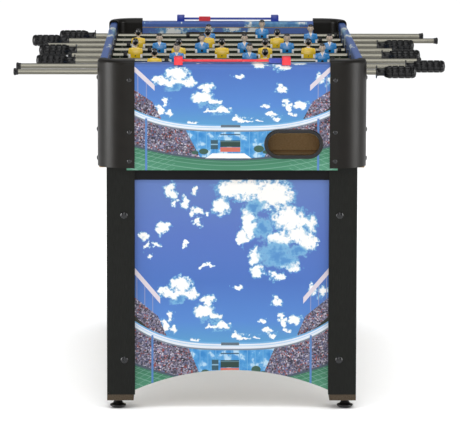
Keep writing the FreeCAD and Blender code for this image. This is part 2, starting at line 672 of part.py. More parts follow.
def tube(kind, side, handle_gap):
    """Steel tube from the blind end of the handle to the end cap, drilled for the players' pins."""
    handle_x = flange_x + kind["travel"] + handle_gap
    cap_x = flange_x + kind["travel"] + CAP_CLEARANCE
    start = V(side * (handle_x + HANDLE_SOCKET), 0, 0)
    end = V(-side * (cap_x + CAP_LENGTH - CAP_WALL), 0, 0)
    body = rod_shape(ROD_RADIUS, start, end)
    cuts = [rod_shape(ROD_RADIUS - ROD_WALL, start, end)]
    for x in player_places(kind):
        cuts.append(rod_shape(PIN_RADIUS, V(x, -ROD_RADIUS - 1, 0), V(x, ROD_RADIUS + 1, 0)))
    return body.cut(cuts)


def handle(kind, side, handle_gap):
    """Rubber grip: thin flange, plain neck, five bulges and a domed end, with a blind socket."""
    start_x = flange_x + kind["travel"] + handle_gap
    profile = [(0, 0), (0, HANDLE_GRIP_RADIUS), (HANDLE_FLANGE, HANDLE_GRIP_RADIUS),
               (HANDLE_FLANGE, HANDLE_NECK_RADIUS)]
    along = HANDLE_FLANGE + HANDLE_NECK
    profile.append((along, HANDLE_NECK_RADIUS))
    for bulge in range(HANDLE_BULGES):
        last = bulge == HANDLE_BULGES - 1
        profile.append((along, HANDLE_VALLEY_RADIUS))
        flat_end = HANDLE_LAST_FLAT if last else 1 - HANDLE_SWELL
        profile.append((along + HANDLE_BULGE * HANDLE_SWELL, HANDLE_GRIP_RADIUS))
        profile.append((along + HANDLE_BULGE * flat_end, HANDLE_GRIP_RADIUS))
        along += HANDLE_BULGE
        if last:
            profile.append((along - HANDLE_DOME, HANDLE_GRIP_RADIUS * HANDLE_DOME_RADII[0]))
            profile.append((along, HANDLE_GRIP_RADIUS * HANDLE_DOME_RADII[1]))
            profile.append((along, 0))
        else:
            profile.append((along, HANDLE_VALLEY_RADIUS))
    body = turned(dedupe(profile), V(side * start_x, 0, 0), V(side, 0, 0))
    socket = rod_shape(ROD_RADIUS, V(side * (start_x - 1), 0, 0), V(side * (start_x + HANDLE_SOCKET), 0, 0))
    return body.cut(socket)


def dedupe(profile):
    """Drop points that repeat the one before."""
    kept = [profile[0]]
    for point in profile[1:]:
        if math.dist(point, kept[-1]) > 1e-6:
            kept.append(point)
    return kept


def end_cap(kind, side):
    """Flared rubber cap over the rod's free end."""
    start_x = flange_x + kind["travel"] + CAP_CLEARANCE
    profile = [(0, 0), (0, CAP_RADIUS - CAP_LIP), (CAP_WAIST, CAP_RADIUS - CAP_WAIST),
               (CAP_LENGTH - CAP_END_ROUND - CAP_WAIST, CAP_RADIUS),
               (CAP_LENGTH - CAP_WAIST, CAP_RADIUS - CAP_LIP),
               (CAP_LENGTH, CAP_RADIUS - CAP_END_ROUND), (CAP_LENGTH, 0)]
    body = turned(profile, V(-side * start_x, 0, 0), V(-side, 0, 0))
    socket = rod_shape(ROD_RADIUS, V(-side * (start_x - 1), 0, 0),
                       V(-side * (start_x + CAP_LENGTH - CAP_WALL), 0, 0))
    return body.cut(socket)


def level_rectangle(half_width, half_depth, z):
    """A level rectangle about the Z axis, to loft from."""
    corners = [V(sx * half_width, sy * half_depth, z) for sx, sy in ((-1, -1), (1, -1), (1, 1), (-1, 1))]
    return Part.makePolygon(corners + corners[:1])


def player(facing):
    """One moulded figure about the rod's axis, and the pin that fixes it. Facing is +1 for +Y."""
    torso = block(-TORSO_HALF_WIDTH, TORSO_HALF_WIDTH, -TORSO_HALF_DEPTH, TORSO_HALF_DEPTH,
                  TORSO_BOTTOM, TORSO_TOP)
    torso = round_edges(torso, TORSO_ROUND, lambda c, e: True)
    arms = [block(s * ARM_INNER, s * PLAYER_HALF_WIDTH, -ARM_BACK, ARM_FRONT,
                  TORSO_BOTTOM - ARM_DROP, TORSO_TOP - ARM_DROP) for s in (-1, 1)]
    arms = [round_edges(arm, LIMB_ROUND, lambda c, e: True) for arm in arms]
    neck_bottom = TORSO_TOP - NECK_SINK
    neck = rod_shape(NECK_RADIUS, V(0, 0, neck_bottom), V(0, 0, neck_bottom + NECK_LENGTH))
    half_outline = Part.Arc(Part.Ellipse(V(0, 0, 0), HEAD_HALF_HEIGHT, HEAD_RADIUS), 0, math.pi)
    chord = Part.LineSegment(V(-HEAD_HALF_HEIGHT, 0, 0), V(HEAD_HALF_HEIGHT, 0, 0))
    head = Part.Face(Part.Wire([half_outline.toShape(), chord.toShape()]))
    head = head.revolve(V(0, 0, 0), V(1, 0, 0), 360)
    head.Placement = FreeCAD.Placement(V(0, 0, PLAYER_HEAD - HEAD_HALF_HEIGHT),
                                       FreeCAD.Rotation(V(0, 1, 0), 90))
    hips = block(-HIP_HALF_WIDTH, HIP_HALF_WIDTH, -HIP_HALF_DEPTH, HIP_HALF_DEPTH, HIP_BOTTOM, HIP_TOP)
    hips = round_edges(hips, LIMB_ROUND, lambda c, e: True)
    thighs = level_rectangle(THIGH_HALF_WIDTH, THIGH_HALF_DEPTH, THIGH_TOP)
    ankles = level_rectangle(ANKLE_HALF_WIDTH, ANKLE_HALF_DEPTH, ANKLE_HEIGHT - sole_drop)
    legs = Part.makeLoft([thighs, ankles], True, True)
    foot = block(-FOOT_HALF_WIDTH, FOOT_HALF_WIDTH, -FOOT_HEEL * facing, TOE_FORWARD * facing,
                 -sole_drop, FOOT_HEIGHT - sole_drop)
    foot = round_edges(foot, FOOT_ROUND, lambda c, e: c.z > 1 - sole_drop)
    body = join([torso, neck, head, hips, legs, foot] + arms)
    pin_seat = V(0, TORSO_HALF_DEPTH * facing, 0)
    pin = rod_shape(PIN_RADIUS, V(0, -PIN_BACK * facing, 0), pin_seat)
    bore = rod_shape(ROD_RADIUS, V(-PLAYER_HALF_WIDTH - 1, 0, 0), V(PLAYER_HALF_WIDTH + 1, 0, 0))
    body = body.cut([bore, pin])
    head_of_pin = rod_shape(PIN_HEAD_RADIUS, pin_seat, pin_seat + V(0, PIN_HEAD * facing, 0))
    return [body, join([pin, head_of_pin])]


def rod_set(index):
    """Everything on one rod, slid and turned to where it stands."""
    name, side, slid, turn, handle_gap = RODS[index]
    kind = ROD_KINDS[name]
    facing = side
    figures = []
    for x in player_places(kind):
        for piece in player(facing):
            piece.translate(V(x, 0, 0))
            figures.append(piece)
    face = bumper_face(kind)
    rings = []
    for s in (-1, 1):
        outer = rod_shape(BUMPER_RADIUS, V(s * (face - BUMPER_LENGTH), 0, 0), V(s * face, 0, 0))
        bore = rod_shape(ROD_RADIUS + RUNNING_CLEARANCE, V(s * (face - BUMPER_LENGTH - 1), 0, 0),
                         V(s * (face + 1), 0, 0))
        rings.append(outer.cut(bore))
    nodes = {
        "rod": [tube(kind, side, handle_gap)],
        "players": figures,
        "grip": [handle(kind, side, handle_gap), end_cap(kind, side)],
        "bumpers": rings,
    }
    for node, shapes in nodes.items():
        for shape in shapes:
            if node != "bumpers":
                shape.rotate(V(0, 0, 0), V(1, 0, 0), turn)
            shape.translate(V(slid, rod_y(index), rod_z))
        save(f"{node}_{index + 1}", shapes)


def main():
    """Build every node."""
    os.makedirs("parts", exist_ok=True)
    ends = {"front": -1, "rear": 1}
    sides = {"left": -1, "right": 1}
    save("playfield", [playfield()])
    for end_name, end in ends.items():
        save(f"{end_name}_apron", [apron(end)])
        save(f"{end_name}_goal_board", [goal_board(end)])
        save(f"{end_name}_ball_chute", [ball_chute(end)])
        save(f"{end_name}_leg_panel", leg_panel(end))
        save(f"{end_name}_score_rail", [score_rail(end)])
        for side_name, side in sides.items():
            save(f"{end_name}_{side_name}_corner_cover", [corner_cover(side, end)])
            save(f"{end_name}_{side_name}_leg", leg(side, end))
    save("front_score_marker", [score_marker(-1, MARKER_FRONT)])
    save("rear_score_marker", [score_marker(1, MARKER_REAR)])
    save("ball_port_bezels", [port_bezel(end) for end in ends.values()])
    for side_name, side in sides.items():
        save(f"{side_name}_side_wall", [side_wall(side)])
    corners = [(side, end) for side in sides.values() for end in ends.values()]
    save("cover_screws", [cover_screw(side, end, level, face) for side, end in corners
                          for face in ("end", "side") for level in SCREW_LEVELS])
    save("leg_bolts", [leg_bolt(side, end, z)[0] for side, end in corners for z in leg_bolt_levels()]
         + [wall_bolt(side, end, rise)[0] for side, end in corners for rise in WALL_BOLT_RISES])
    save("levelling_feet", [levelling_foot(side, end) for side, end in corners])
    save("rod_bushings", [bushing(side, index) for side in sides.values() for index in range(ROD_COUNT)])
    for index in range(ROD_COUNT):
        rod_set(index)


main()
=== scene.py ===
"""Finishes and detailed pieces of a rod football table, built around its fixed CAD frame.

Lengths are millimetres in the dataclasses and metres in Blender. X runs along the rods, Y along
the playing field with the front end at -Y, and Z up from the floor.
"""

import logging
import math
from collections.abc import Callable, Sequence
from dataclasses import dataclass, field
from enum import Enum

import bpy
from mathutils import Matrix, Vector


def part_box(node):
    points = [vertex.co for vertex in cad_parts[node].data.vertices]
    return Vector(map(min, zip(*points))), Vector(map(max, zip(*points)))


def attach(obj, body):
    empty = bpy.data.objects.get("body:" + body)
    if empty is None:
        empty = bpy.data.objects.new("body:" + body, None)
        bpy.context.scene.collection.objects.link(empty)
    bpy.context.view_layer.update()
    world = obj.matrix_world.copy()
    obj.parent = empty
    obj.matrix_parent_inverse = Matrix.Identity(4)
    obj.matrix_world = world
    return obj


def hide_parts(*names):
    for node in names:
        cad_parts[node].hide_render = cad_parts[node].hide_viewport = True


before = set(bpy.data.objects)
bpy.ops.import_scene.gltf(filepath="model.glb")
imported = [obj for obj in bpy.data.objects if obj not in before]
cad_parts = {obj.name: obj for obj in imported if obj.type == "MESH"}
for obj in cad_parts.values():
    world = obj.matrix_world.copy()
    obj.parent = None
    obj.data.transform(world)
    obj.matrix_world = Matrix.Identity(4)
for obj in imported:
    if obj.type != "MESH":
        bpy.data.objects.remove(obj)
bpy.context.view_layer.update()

MM = 0.001
LOG = logging.getLogger("table")
Tree = bpy.types.NodeTree
Node = bpy.types.Node
Piece = bpy.types.Object
Face = bpy.types.MeshPolygon


# ---------------------------------------------------------------- nodes and colours

def linear(colour: str) -> tuple[float, float, float, float]:
    """Turn an sRGB hex colour into linear light.

    Args:
        colour: six hex digits after a hash.

    Returns:
        Linear red, green, blue and an alpha of one.
    """
    parts = [int(colour[i:i + 2], 16) / 255 for i in (1, 3, 5)]
    light = [c / 12.92 if c <= 0.04045 else ((c + 0.055) / 1.055) ** 2.4 for c in parts]
    return light[0], light[1], light[2], 1.0


def add_node(tree: Tree, kind: str, inputs: dict | None = None, stops: Sequence | None = None,
             **settings: object) -> Node:
    """Add a node, set its properties, and give or link its inputs.

    Args:
        tree: the material's node tree.
        kind: Blender's name for the node, without the ShaderNode it starts with.
        inputs: values, nodes or output sockets by input name or number.
        stops: (place, hex colour) pairs of a colour ramp.
        settings: properties of the node.

    Returns:
        The new node.
    """
    node = tree.nodes.new("ShaderNode" + kind)
    for name, value in settings.items():
        setattr(node, name, value)
    if stops:
        ramp = node.color_ramp
        while len(ramp.elements) < len(stops):
            ramp.elements.new(1.0)
        for element, (place, colour) in zip(ramp.elements, stops):
            element.position = place
            element.color = linear(colour)
    for name, value in (inputs or {}).items():
        if isinstance(value, bpy.types.Node):
            value = next(output for output in value.outputs if output.enabled)
        if isinstance(value, bpy.types.NodeSocket):
            tree.links.new(value, node.inputs[name])
        else:
            node.inputs[name].default_value = value
    return node


@dataclass(frozen=True)
class Finish:
    """A surface finish. Each kind of finish draws its own pattern."""

    name: str

    def material(self) -> bpy.types.Material:
        """Make the finish's material, or give the one already made.

        Returns:
            The finish's material.
        """
        made = bpy.data.materials.get(self.name)
        if made:
            return made
        made = bpy.data.materials.new(self.name)
        made.use_nodes = True
        tree = made.node_tree
        tree.nodes.clear()
        surface = add_node(tree, "BsdfPrincipled", self.draw(tree))
        add_node(tree, "OutputMaterial", {"Surface": surface})
        return made

    def draw(self, tree: Tree) -> dict:
        """Draw the pattern and give the surface shader's inputs by name."""
        raise NotImplementedError


@dataclass(frozen=True)
class Moulded(Finish):
    """Moulded plastic or rubber, or a painted skin: two close tones, and a fine grain.

    The real grain is about a tenth of a millimetre. It is drawn coarser, so that it shows.
    """

    colour: str = "#202020"
    second: str = "#282828"
    roughness: float = 0.45
    spread: float = 0.08
    grain: float = 1.2
    relief: float = 0.05
    coat: float = 0.0
    ior: float = 1.49
    sheen: float = 0.5

    def draw(self, tree: Tree) -> dict:
        """Blend the tones by slow noise and raise the grain.

        Args:
            tree: the material's node tree.

        Returns:
            The surface shader's inputs by name.
        """
        place = add_node(tree, "TexCoord").outputs["Object"]
        slow = add_node(tree, "TexNoise", {"Vector": place, "Scale": 1 / (30 * MM), "Detail": 3.0})
        tone = add_node(tree, "Mix", {0: slow, 6: linear(self.colour), 7: linear(self.second)},
                        data_type="RGBA")
        fine = add_node(tree, "TexNoise", {"Vector": place, "Scale": 1 / (self.grain * MM), "Detail": 2.0})
        rough = add_node(tree, "MapRange",
                         {"Value": slow, "To Min": self.roughness - self.spread,
                          "To Max": self.roughness + self.spread})
        bump = add_node(tree, "Bump", {"Height": fine, "Distance": self.relief * MM, "Strength": 1.0})
        return {"Base Color": tone, "Roughness": rough, "Normal": bump, "IOR": self.ior,
                "Coat Weight": self.coat, "Specular IOR Level": self.sheen}


@dataclass(frozen=True)
class PlatedSteel(Finish):
    """Plated steel tube: drawn lines along it, drawn coarser than real ones, and faint hand marks."""

    colour: str = "#6b6960"
    roughness: float = 0.1
    line: float = 0.6

    def draw(self, tree: Tree) -> dict:
        """Stretch noise along the tube for the drawn lines.

        Args:
            tree: the material's node tree.

        Returns:
            The surface shader's inputs by name.
        """
        place = add_node(tree, "TexCoord").outputs["Object"]
        along = add_node(tree, "Mapping", {"Vector": place, "Scale": (0.02, 1.0, 1.0)})
        lines = add_node(tree, "TexNoise", {"Vector": along, "Scale": 1 / (self.line * MM)})
        marks = add_node(tree, "TexNoise", {"Vector": place, "Scale": 1 / (45 * MM), "Detail": 4.0})
        both = add_node(tree, "Math", {0: lines, 1: marks}, operation="MULTIPLY")
        rough = add_node(tree, "MapRange",
                         {"Value": both, "From Min": 0.1, "From Max": 0.5,
                          "To Min": self.roughness - 0.03, "To Max": self.roughness + 0.06})
        bump = add_node(tree, "Bump", {"Height": lines, "Distance": 0.002 * MM, "Strength": 0.3})
        return {"Base Color": linear(self.colour), "Metallic": 1.0, "Roughness": rough, "Normal": bump}


@dataclass(frozen=True)
class Fibreboard(Finish):
    """Raw medium-density fibreboard: short pressed fibres and darker flecks."""

    colour: str = "#c9a878"
    second: str = "#ad8a5c"
    fleck: str = "#d9be94"
    fibre: float = 2.2
    roughness: float = 0.82

    def draw(self, tree: Tree) -> dict:
        """Mix two browns by stretched fibres.

        Args:
            tree: the material's node tree.

        Returns:
            The surface shader's inputs by name.
        """
        place = add_node(tree, "TexCoord").outputs["Object"]
        flat = add_node(tree, "Mapping", {"Vector": place, "Scale": (0.5, 0.5, 1.6)})
        fibres = add_node(tree, "TexNoise",
                          {"Vector": flat, "Scale": 1 / (self.fibre * MM), "Detail": 6.0, "Roughness": 0.7})
        tone = add_node(tree, "ValToRGB", {"Fac": fibres},
                        stops=[(0.3, self.second), (0.55, self.colour), (0.75, self.fleck)])
        bump = add_node(tree, "Bump", {"Height": fibres, "Distance": 0.12 * MM, "Strength": 0.8})
        return {"Base Color": tone, "Roughness": self.roughness, "Normal": bump}


@dataclass(frozen=True)
class LegBoard(Finish):
    """Black laminate with a pressed pore grain; below its edge the bare foot block shows."""

    colour: str = "#141512"
    second: str = "#1f201d"
    block: str = "#5b4f40"
    block_dark: str = "#43392d"
    block_grain: float = 3.0
    board_bottom: float = 33.0
    pore: float = 1.1
    gloss: float = 0.12

    def draw(self, tree: Tree) -> dict:
        """Draw upright pores, and the brown block under the boards.

        Args:
            tree: the material's node tree.

        Returns:
            The surface shader's inputs by name.
        """
        place = add_node(tree, "TexCoord").outputs["Object"]
        upright = add_node(tree, "Mapping", {"Vector": place, "Scale": (1.0, 1.0, 0.06)})
        pores = add_node(tree, "TexNoise",
                         {"Vector": upright, "Scale": 1 / (self.pore * MM), "Detail": 4.0})
        black = add_node(tree, "ValToRGB", {"Fac": pores}, stops=[(0.35, self.colour), (0.7, self.second)])
        height = add_node(tree, "SeparateXYZ", {"Vector": place}).outputs["Z"]
        low = add_node(tree, "Math", {0: height, 1: self.board_bottom * MM}, operation="LESS_THAN")
        grain = add_node(tree, "TexNoise",
                         {"Vector": place, "Scale": 1 / (self.block_grain * MM), "Detail": 5.0})
        brown = add_node(tree, "ValToRGB", {"Fac": grain},
                         stops=[(0.3, self.block_dark), (0.7, self.block)])
        tone = add_node(tree, "Mix", {0: low, 6: black, 7: brown}, data_type="RGBA")
        rough = add_node(tree, "MapRange", {"Value": pores, "To Min": 0.4, "To Max": 0.55})
        bump = add_node(tree, "Bump", {"Height": pores, "Distance": 0.05 * MM, "Strength": 0.7})
        return {"Base Color": tone, "Roughness": rough, "Normal": bump, "Specular IOR Level": self.gloss}


# ---------------------------------------------------------------- the printed picture

@dataclass(frozen=True)
class Cloud:
    """A soft patch of the printed sky: its middle and half sizes in picture millimetres."""

    u: float
    v: float
    half_width: float
    half_height: float


WHITE_CLOUDS = (
    # Bank at the top right
    Cloud(20, 505, 75, 34), Cloud(95, 490, 62, 44), Cloud(130, 436, 52, 36), Cloud(170, 425, 32, 30),
    Cloud(38, 425, 26, 48), Cloud(24, 392, 14, 22), Cloud(150, 398, 32, 22), Cloud(188, 383, 10, 20),
    Cloud(60, 316, 22, 22), Cloud(104, 303, 26, 14), Cloud(136, 326, 24, 16), Cloud(172, 384, 26, 30),
    Cloud(52, 350, 16, 26), Cloud(-28, 462, 26, 28), Cloud(-8, 500, 30, 26), Cloud(110, 392, 34, 22),
    # Torn clouds at the top left
    Cloud(-139, 500, 19, 22), Cloud(-132, 472, 11, 16), Cloud(-105, 474, 14, 16), Cloud(-86, 500, 8, 14),
    Cloud(-80, 452, 17, 12), Cloud(-76, 428, 8, 13), Cloud(-156, 416, 22, 14), Cloud(-198, 395, 11, 13),
    Cloud(-192, 370, 8, 12), Cloud(-172, 376, 11, 9), Cloud(-185, 350, 7, 8), Cloud(-104, 378, 9, 6),
    Cloud(-56, 326, 14, 7), Cloud(-58, 446, 8, 12),
    # Two heaped clouds
    Cloud(-117, 286, 30, 24), Cloud(-148, 267, 26, 14), Cloud(-93, 262, 24, 17), Cloud(-122, 262, 44, 13),
    Cloud(-52, 244, 15, 22), Cloud(-66, 221, 32, 17), Cloud(-36, 212, 22, 12),
    # Fair-weather clouds over the roof
    Cloud(-24, 189, 28, 13), Cloud(-50, 186, 14, 7), Cloud(14, 167, 15, 14), Cloud(24, 160, 22, 7),
    Cloud(-140, 212, 9, 14), Cloud(-151, 190, 11, 13), Cloud(-132, 178, 13, 14),
    Cloud(12, 279, 16, 9), Cloud(53, 164, 12, 6), Cloud(81, 179, 15, 11), Cloud(95, 167, 15, 7),
    Cloud(144, 204, 18, 14), Cloud(112, 209, 9, 15), Cloud(122, 196, 8, 12), Cloud(100, 246, 19, 11),
    Cloud(69, 202, 10, 8), Cloud(-86, 158, 20, 7), Cloud(125, 180, 9, 4),
    Cloud(181, 272, 13, 20), Cloud(208, 268, 17, 18),
)
SHADED_CLOUDS = (
    Cloud(98, 354, 54, 40), Cloud(124, 340, 38, 24), Cloud(52, 466, 30, 20), Cloud(70, 412, 26, 36),
    Cloud(150, 360, 28, 20), Cloud(166, 414, 12, 12),
    Cloud(-118, 250, 30, 12), Cloud(-45, 202, 28, 9), Cloud(-24, 180, 26, 6),
)


@dataclass(frozen=True)
class Slant:
    """A slanting line of the printed picture: its slope, and its value at nought."""

    slope: float
    start: float


class Run(Enum):
    """The level direction in which the picture runs on a board."""

    ALONG_X = "X"
    ALONG_Y = "Y"


@dataclass(frozen=True)
class StadiumPrint(Finish):
    """Film printed with a summer sky over a generic stadium, wrapped over the board's top edge.

    The picture is drawn in its own millimetres: u across from the middle, v up. The same drawing
    serves every board, stretched and placed as the board's film is.
    """

    run: Run = Run.ALONG_X
    stretch: float = 1.0
    squeeze: float = 1.0
    level: float = 0.0
    offset: float = 0.0
    face: float = 567.0
    printed: tuple[float, float] = (566.5, 568.0)
    also_printed: tuple[float, float] = (0.0, 0.0)
    wrap_top: float = 5000.0
    rail_bottom: float = 5000.0
    roughness: float = 0.3
    gloss: float = 0.2
    roof_height: float = 141.5
    roof_rise: float = 50.0
    half_picture: float = 221.0
    pitch_height: float = 57.0
    pitch_rise: float = 41.0
    pitch_depth: float = 60.0
    proud: float = 0.5
    fibre: float = 2.5
    sky_top: float = 530.0
    tear_size: float = 26.0
    tear_reach: float = 44.0
    curl_size: float = 9.0
    stand_top: Slant = Slant(0.81, 76.0)
    stand_end: Slant = Slant(0.43, 77.0)
    stand_gap: Slant = Slant(0.89, 15.0)
    glass_end: Slant = Slant(0.42, 40.0)
    canopy_line: Slant = Slant(1.17, 57.5)
    canopy_half: float = 7.5
    canopy_start: float = 163.0
    strut_gap: float = 9.0
    strut_half: float = 0.9
    person: float = 2.7
    row: float = 3.5
    crowd_patch: float = 38.0
    mirrored_cloud: float = 22.0
    pane: float = 9.0
    pane_bar: float = 0.8
    furrow_power: float = 0.62
    furrow_gap: float = 1.25
    furrow_half: float = 0.16
    ray_slope: float = 1.6
    ray_gap: float = 10.0
    ray_half: float = 0.9
    ray_start: float = 120.0
    marking: float = 0.36
    tent_middle: float = -8.0
    tent_slope: float = 1.15
    tent_peak: float = 121.0

    def draw(self, tree: Tree) -> dict:
        """Draw sky, clouds, stands and pitch, then the bare back of the board.

        Args:
            tree: the material's node tree.

        Returns:
            The surface shader's inputs by name.
        """
        place = add_node(tree, "TexCoord").outputs["Object"]
        metres = add_node(tree, "SeparateXYZ", {"Vector": place})
        other = "Y" if self.run is Run.ALONG_X else "X"
        along = add_node(tree, "Math", {0: metres.outputs[self.run.value], 1: 1 / MM}, operation="MULTIPLY")
        depth = add_node(tree, "Math", {0: metres.outputs[other]}, operation="ABSOLUTE")
        depth = add_node(tree, "Math", {0: depth, 1: 1 / MM}, operation="MULTIPLY")
        height = add_node(tree, "Math", {0: metres.outputs["Z"], 1: 1 / MM}, operation="MULTIPLY")
        fold = add_node(tree, "Math", {0: self.face, 1: depth}, operation="SUBTRACT")
        fold = add_node(tree, "Math", {0: fold, 1: 0.0}, operation="MAXIMUM")
        rise = add_node(tree, "Math", {0: height, 1: fold}, operation="ADD")
        u = add_node(tree, "Math", {0: along, 1: 1 / self.stretch, 2: self.offset},
                     operation="MULTIPLY_ADD")
        v = add_node(tree, "Math", {0: rise, 1: 1 / self.squeeze, 2: self.level}, operation="MULTIPLY_ADD")
        grain = add_node(tree, "CombineXYZ", {"X": along, "Y": rise})
        colour = self.sky(tree, u, v)
        colour = self.stands(tree, u, v, grain, colour)
        colour, bare = self.board(tree, depth, height, grain, colour)
        peel = add_node(tree, "TexNoise", {"Vector": place, "Scale": 1 / (2.5 * MM)})
        bump = add_node(tree, "Bump", {"Height": peel, "Distance": 0.02 * MM, "Strength": 0.6})
        rough = add_node(tree, "MapRange", {"Value": bare, "To Min": self.roughness, "To Max": 0.75})
        return {"Base Color": colour, "Roughness": rough, "Normal": bump, "Specular IOR Level": self.gloss}

    def patches(self, tree: Tree, place: Node, clouds: Sequence[Cloud]) -> Node:
        """The strength of a set of cloud patches at a place: one in a middle, nought outside.

        Args:
            tree: the material's node tree.
            place: picture coordinates, already torn by noise.
            clouds: the patches.

        Returns:
            The node that gives the highest strength of all the patches.
        """
        strongest: Node | float = 0.0
        for cloud in clouds:
            local = add_node(tree, "Mapping",
                             {"Vector": place, "Location": (cloud.u, cloud.v, 0.0),
                              "Scale": (cloud.half_width, cloud.half_height, 1.0)}, vector_type="TEXTURE")
            ball = add_node(tree, "TexGradient", {"Vector": local}, gradient_type="SPHERICAL")
            strongest = add_node(tree, "Math", {0: strongest, 1: ball.outputs["Fac"]}, operation="MAXIMUM")
        return strongest

    def sky(self, tree: Tree, u: Node, v: Node) -> Node:
        """Graded blue sky with torn white clouds, blue in their shade.

        Args:
            tree: the material's node tree.
            u: across the picture from its middle.
            v: up the picture.

        Returns:
            The sky's colour.
        """
        picture = add_node(tree, "CombineXYZ", {"X": u, "Y": v})
        tear = add_node(tree, "TexNoise",
                        {"Vector": picture, "Scale": 1 / self.tear_size, "Detail": 7.0, "Roughness": 0.62},
                        noise_dimensions="2D")
        tear = add_node(tree, "VectorMath", {0: tear.outputs["Color"], 1: (0.5, 0.5, 0.5)},
                        operation="SUBTRACT")
        reach = (self.tear_reach, self.tear_reach, 0.0)
        tear = add_node(tree, "VectorMath", {0: tear, 1: reach, 2: picture}, operation="MULTIPLY_ADD")
        curl = add_node(tree, "TexNoise",
                        {"Vector": picture, "Scale": 1 / self.curl_size, "Detail": 5.0, "Roughness": 0.6},
                        noise_dimensions="2D")
        curl = add_node(tree, "Math", {0: curl.outputs["Fac"], 1: 0.5}, operation="SUBTRACT")
        white = self.patches(tree, tear, WHITE_CLOUDS)
        gate = add_node(tree, "MapRange", {"Value": white, "From Max": 0.25, "To Max": 0.9})
        white = add_node(tree, "Math", {0: curl, 1: gate, 2: white}, operation="MULTIPLY_ADD")
        shade = self.patches(tree, tear, SHADED_CLOUDS)
        gate = add_node(tree, "MapRange", {"Value": shade, "From Max": 0.25, "To Max": 0.7})
        shade = add_node(tree, "Math", {0: curl, 1: gate, 2: shade}, operation="MULTIPLY_ADD")
        high = add_node(tree, "Math", {0: v, 1: self.sky_top}, operation="DIVIDE")
        colour = add_node(tree, "ValToRGB", {"Fac": high},
                          stops=[(0.27, "#5a9cc9"), (0.38, "#5586cc"), (0.55, "#4c72bc"),
                                 (0.75, "#5774bd"), (1.0, "#6580be")])
        # Thin edge and full white of the clouds, then the blue veil and the depth of their shade
        layers = ((white, 0.05, 0.26, 1.0, "#69a9d3"), (white, 0.18, 0.5, 1.0, "#fbfaf6"),
                  (shade, 0.08, 0.55, 0.85, "#84bfdc"), (shade, 0.35, 0.85, 0.9, "#4f89c6"))
        for strength, low, high, most, tone in layers:
            mask = add_node(tree, "MapRange",
                            {"Value": strength, "From Min": low, "From Max": high, "To Max": most},
                            interpolation_type="SMOOTHSTEP")
            colour = add_node(tree, "Mix", {0: mask, 6: colour, 7: linear(tone)}, data_type="RGBA")
        return colour

    def window(self, tree: Tree, u: Node, v: Node, box: tuple[float, float, float, float]) -> Node:
        """One inside an upright rectangle of the picture, nought outside.

        Args:
            tree: the material's node tree.
            u: across.
            v: up.
            box: left, right, bottom and top.

        Returns:
            The mask's node.
        """
        left, right, bottom, top = box
        across = add_node(tree, "Math", {0: u, 1: (left + right) / 2, 2: (right - left) / 2},
                          operation="COMPARE")
        upright = add_node(tree, "Math", {0: v, 1: (bottom + top) / 2, 2: (top - bottom) / 2},
                           operation="COMPARE")
        return add_node(tree, "Math", {0: across, 1: upright}, operation="MULTIPLY")

    def stands(self, tree: Tree, u: Node, v: Node, grain: Node, colour: Node) -> Node:
        """Crowded stands, the curved roof between them, a glass front and the pitch.

        Args:
            tree: the material's node tree.
            u: across the picture from its middle.
            v: up the picture.
            grain: true millimetres over the board.
            colour: what is drawn so far.

        Returns:
            The colour with the stadium drawn over it.
        """
        side = add_node(tree, "Math", {0: u}, operation="ABSOLUTE")
        share = add_node(tree, "Math", {0: side, 1: self.half_picture}, operation="DIVIDE")
        cube = add_node(tree, "Math", {0: share, 1: 3.0}, operation="POWER")
        roof = add_node(tree, "Math", {0: cube, 1: self.roof_rise, 2: self.roof_height},
                        operation="MULTIPLY_ADD")
        above = add_node(tree, "Math", {0: v, 1: roof}, operation="SUBTRACT")
        square = add_node(tree, "Math", {0: share, 1: 2.0}, operation="POWER")
        grass = add_node(tree, "Math", {0: square, 1: self.pitch_rise, 2: self.pitch_height},
                         operation="MULTIPLY_ADD")
        depth = add_node(tree, "Math", {0: grass, 1: v}, operation="SUBTRACT")
        crowd = self.crowd(tree, grain, above)
        # Upper stands: under a slanting top line and behind a slanting end.
        top_line = add_node(tree, "Math",
                            {0: side, 1: self.stand_top.slope, 2: self.stand_top.start},
                            operation="MULTIPLY_ADD")
        under_top = add_node(tree, "Math", {0: v, 1: top_line}, operation="LESS_THAN")
        end_line = add_node(tree, "Math",
                            {0: v, 1: self.stand_end.slope, 2: self.stand_end.start},
                            operation="MULTIPLY_ADD")
        past_end = add_node(tree, "Math", {0: side, 1: end_line}, operation="GREATER_THAN")
        upper = add_node(tree, "Math", {0: under_top, 1: past_end}, operation="MULTIPLY")
        colour = add_node(tree, "Mix", {0: upper, 6: colour, 7: crowd}, data_type="RGBA")
        gap_line = add_node(tree, "Math",
                            {0: side, 1: self.stand_gap.slope, 2: self.stand_gap.start},
                            operation="MULTIPLY_ADD")
        gap = add_node(tree, "Math", {0: v, 1: gap_line}, operation="LESS_THAN")
        gap = add_node(tree, "Math", {0: gap, 1: upper}, operation="MULTIPLY")
        colour = add_node(tree, "Mix", {0: gap, 6: colour, 7: linear("#35372f")}, data_type="RGBA")
        colour = self.canopy(tree, side, v, top_line, colour)
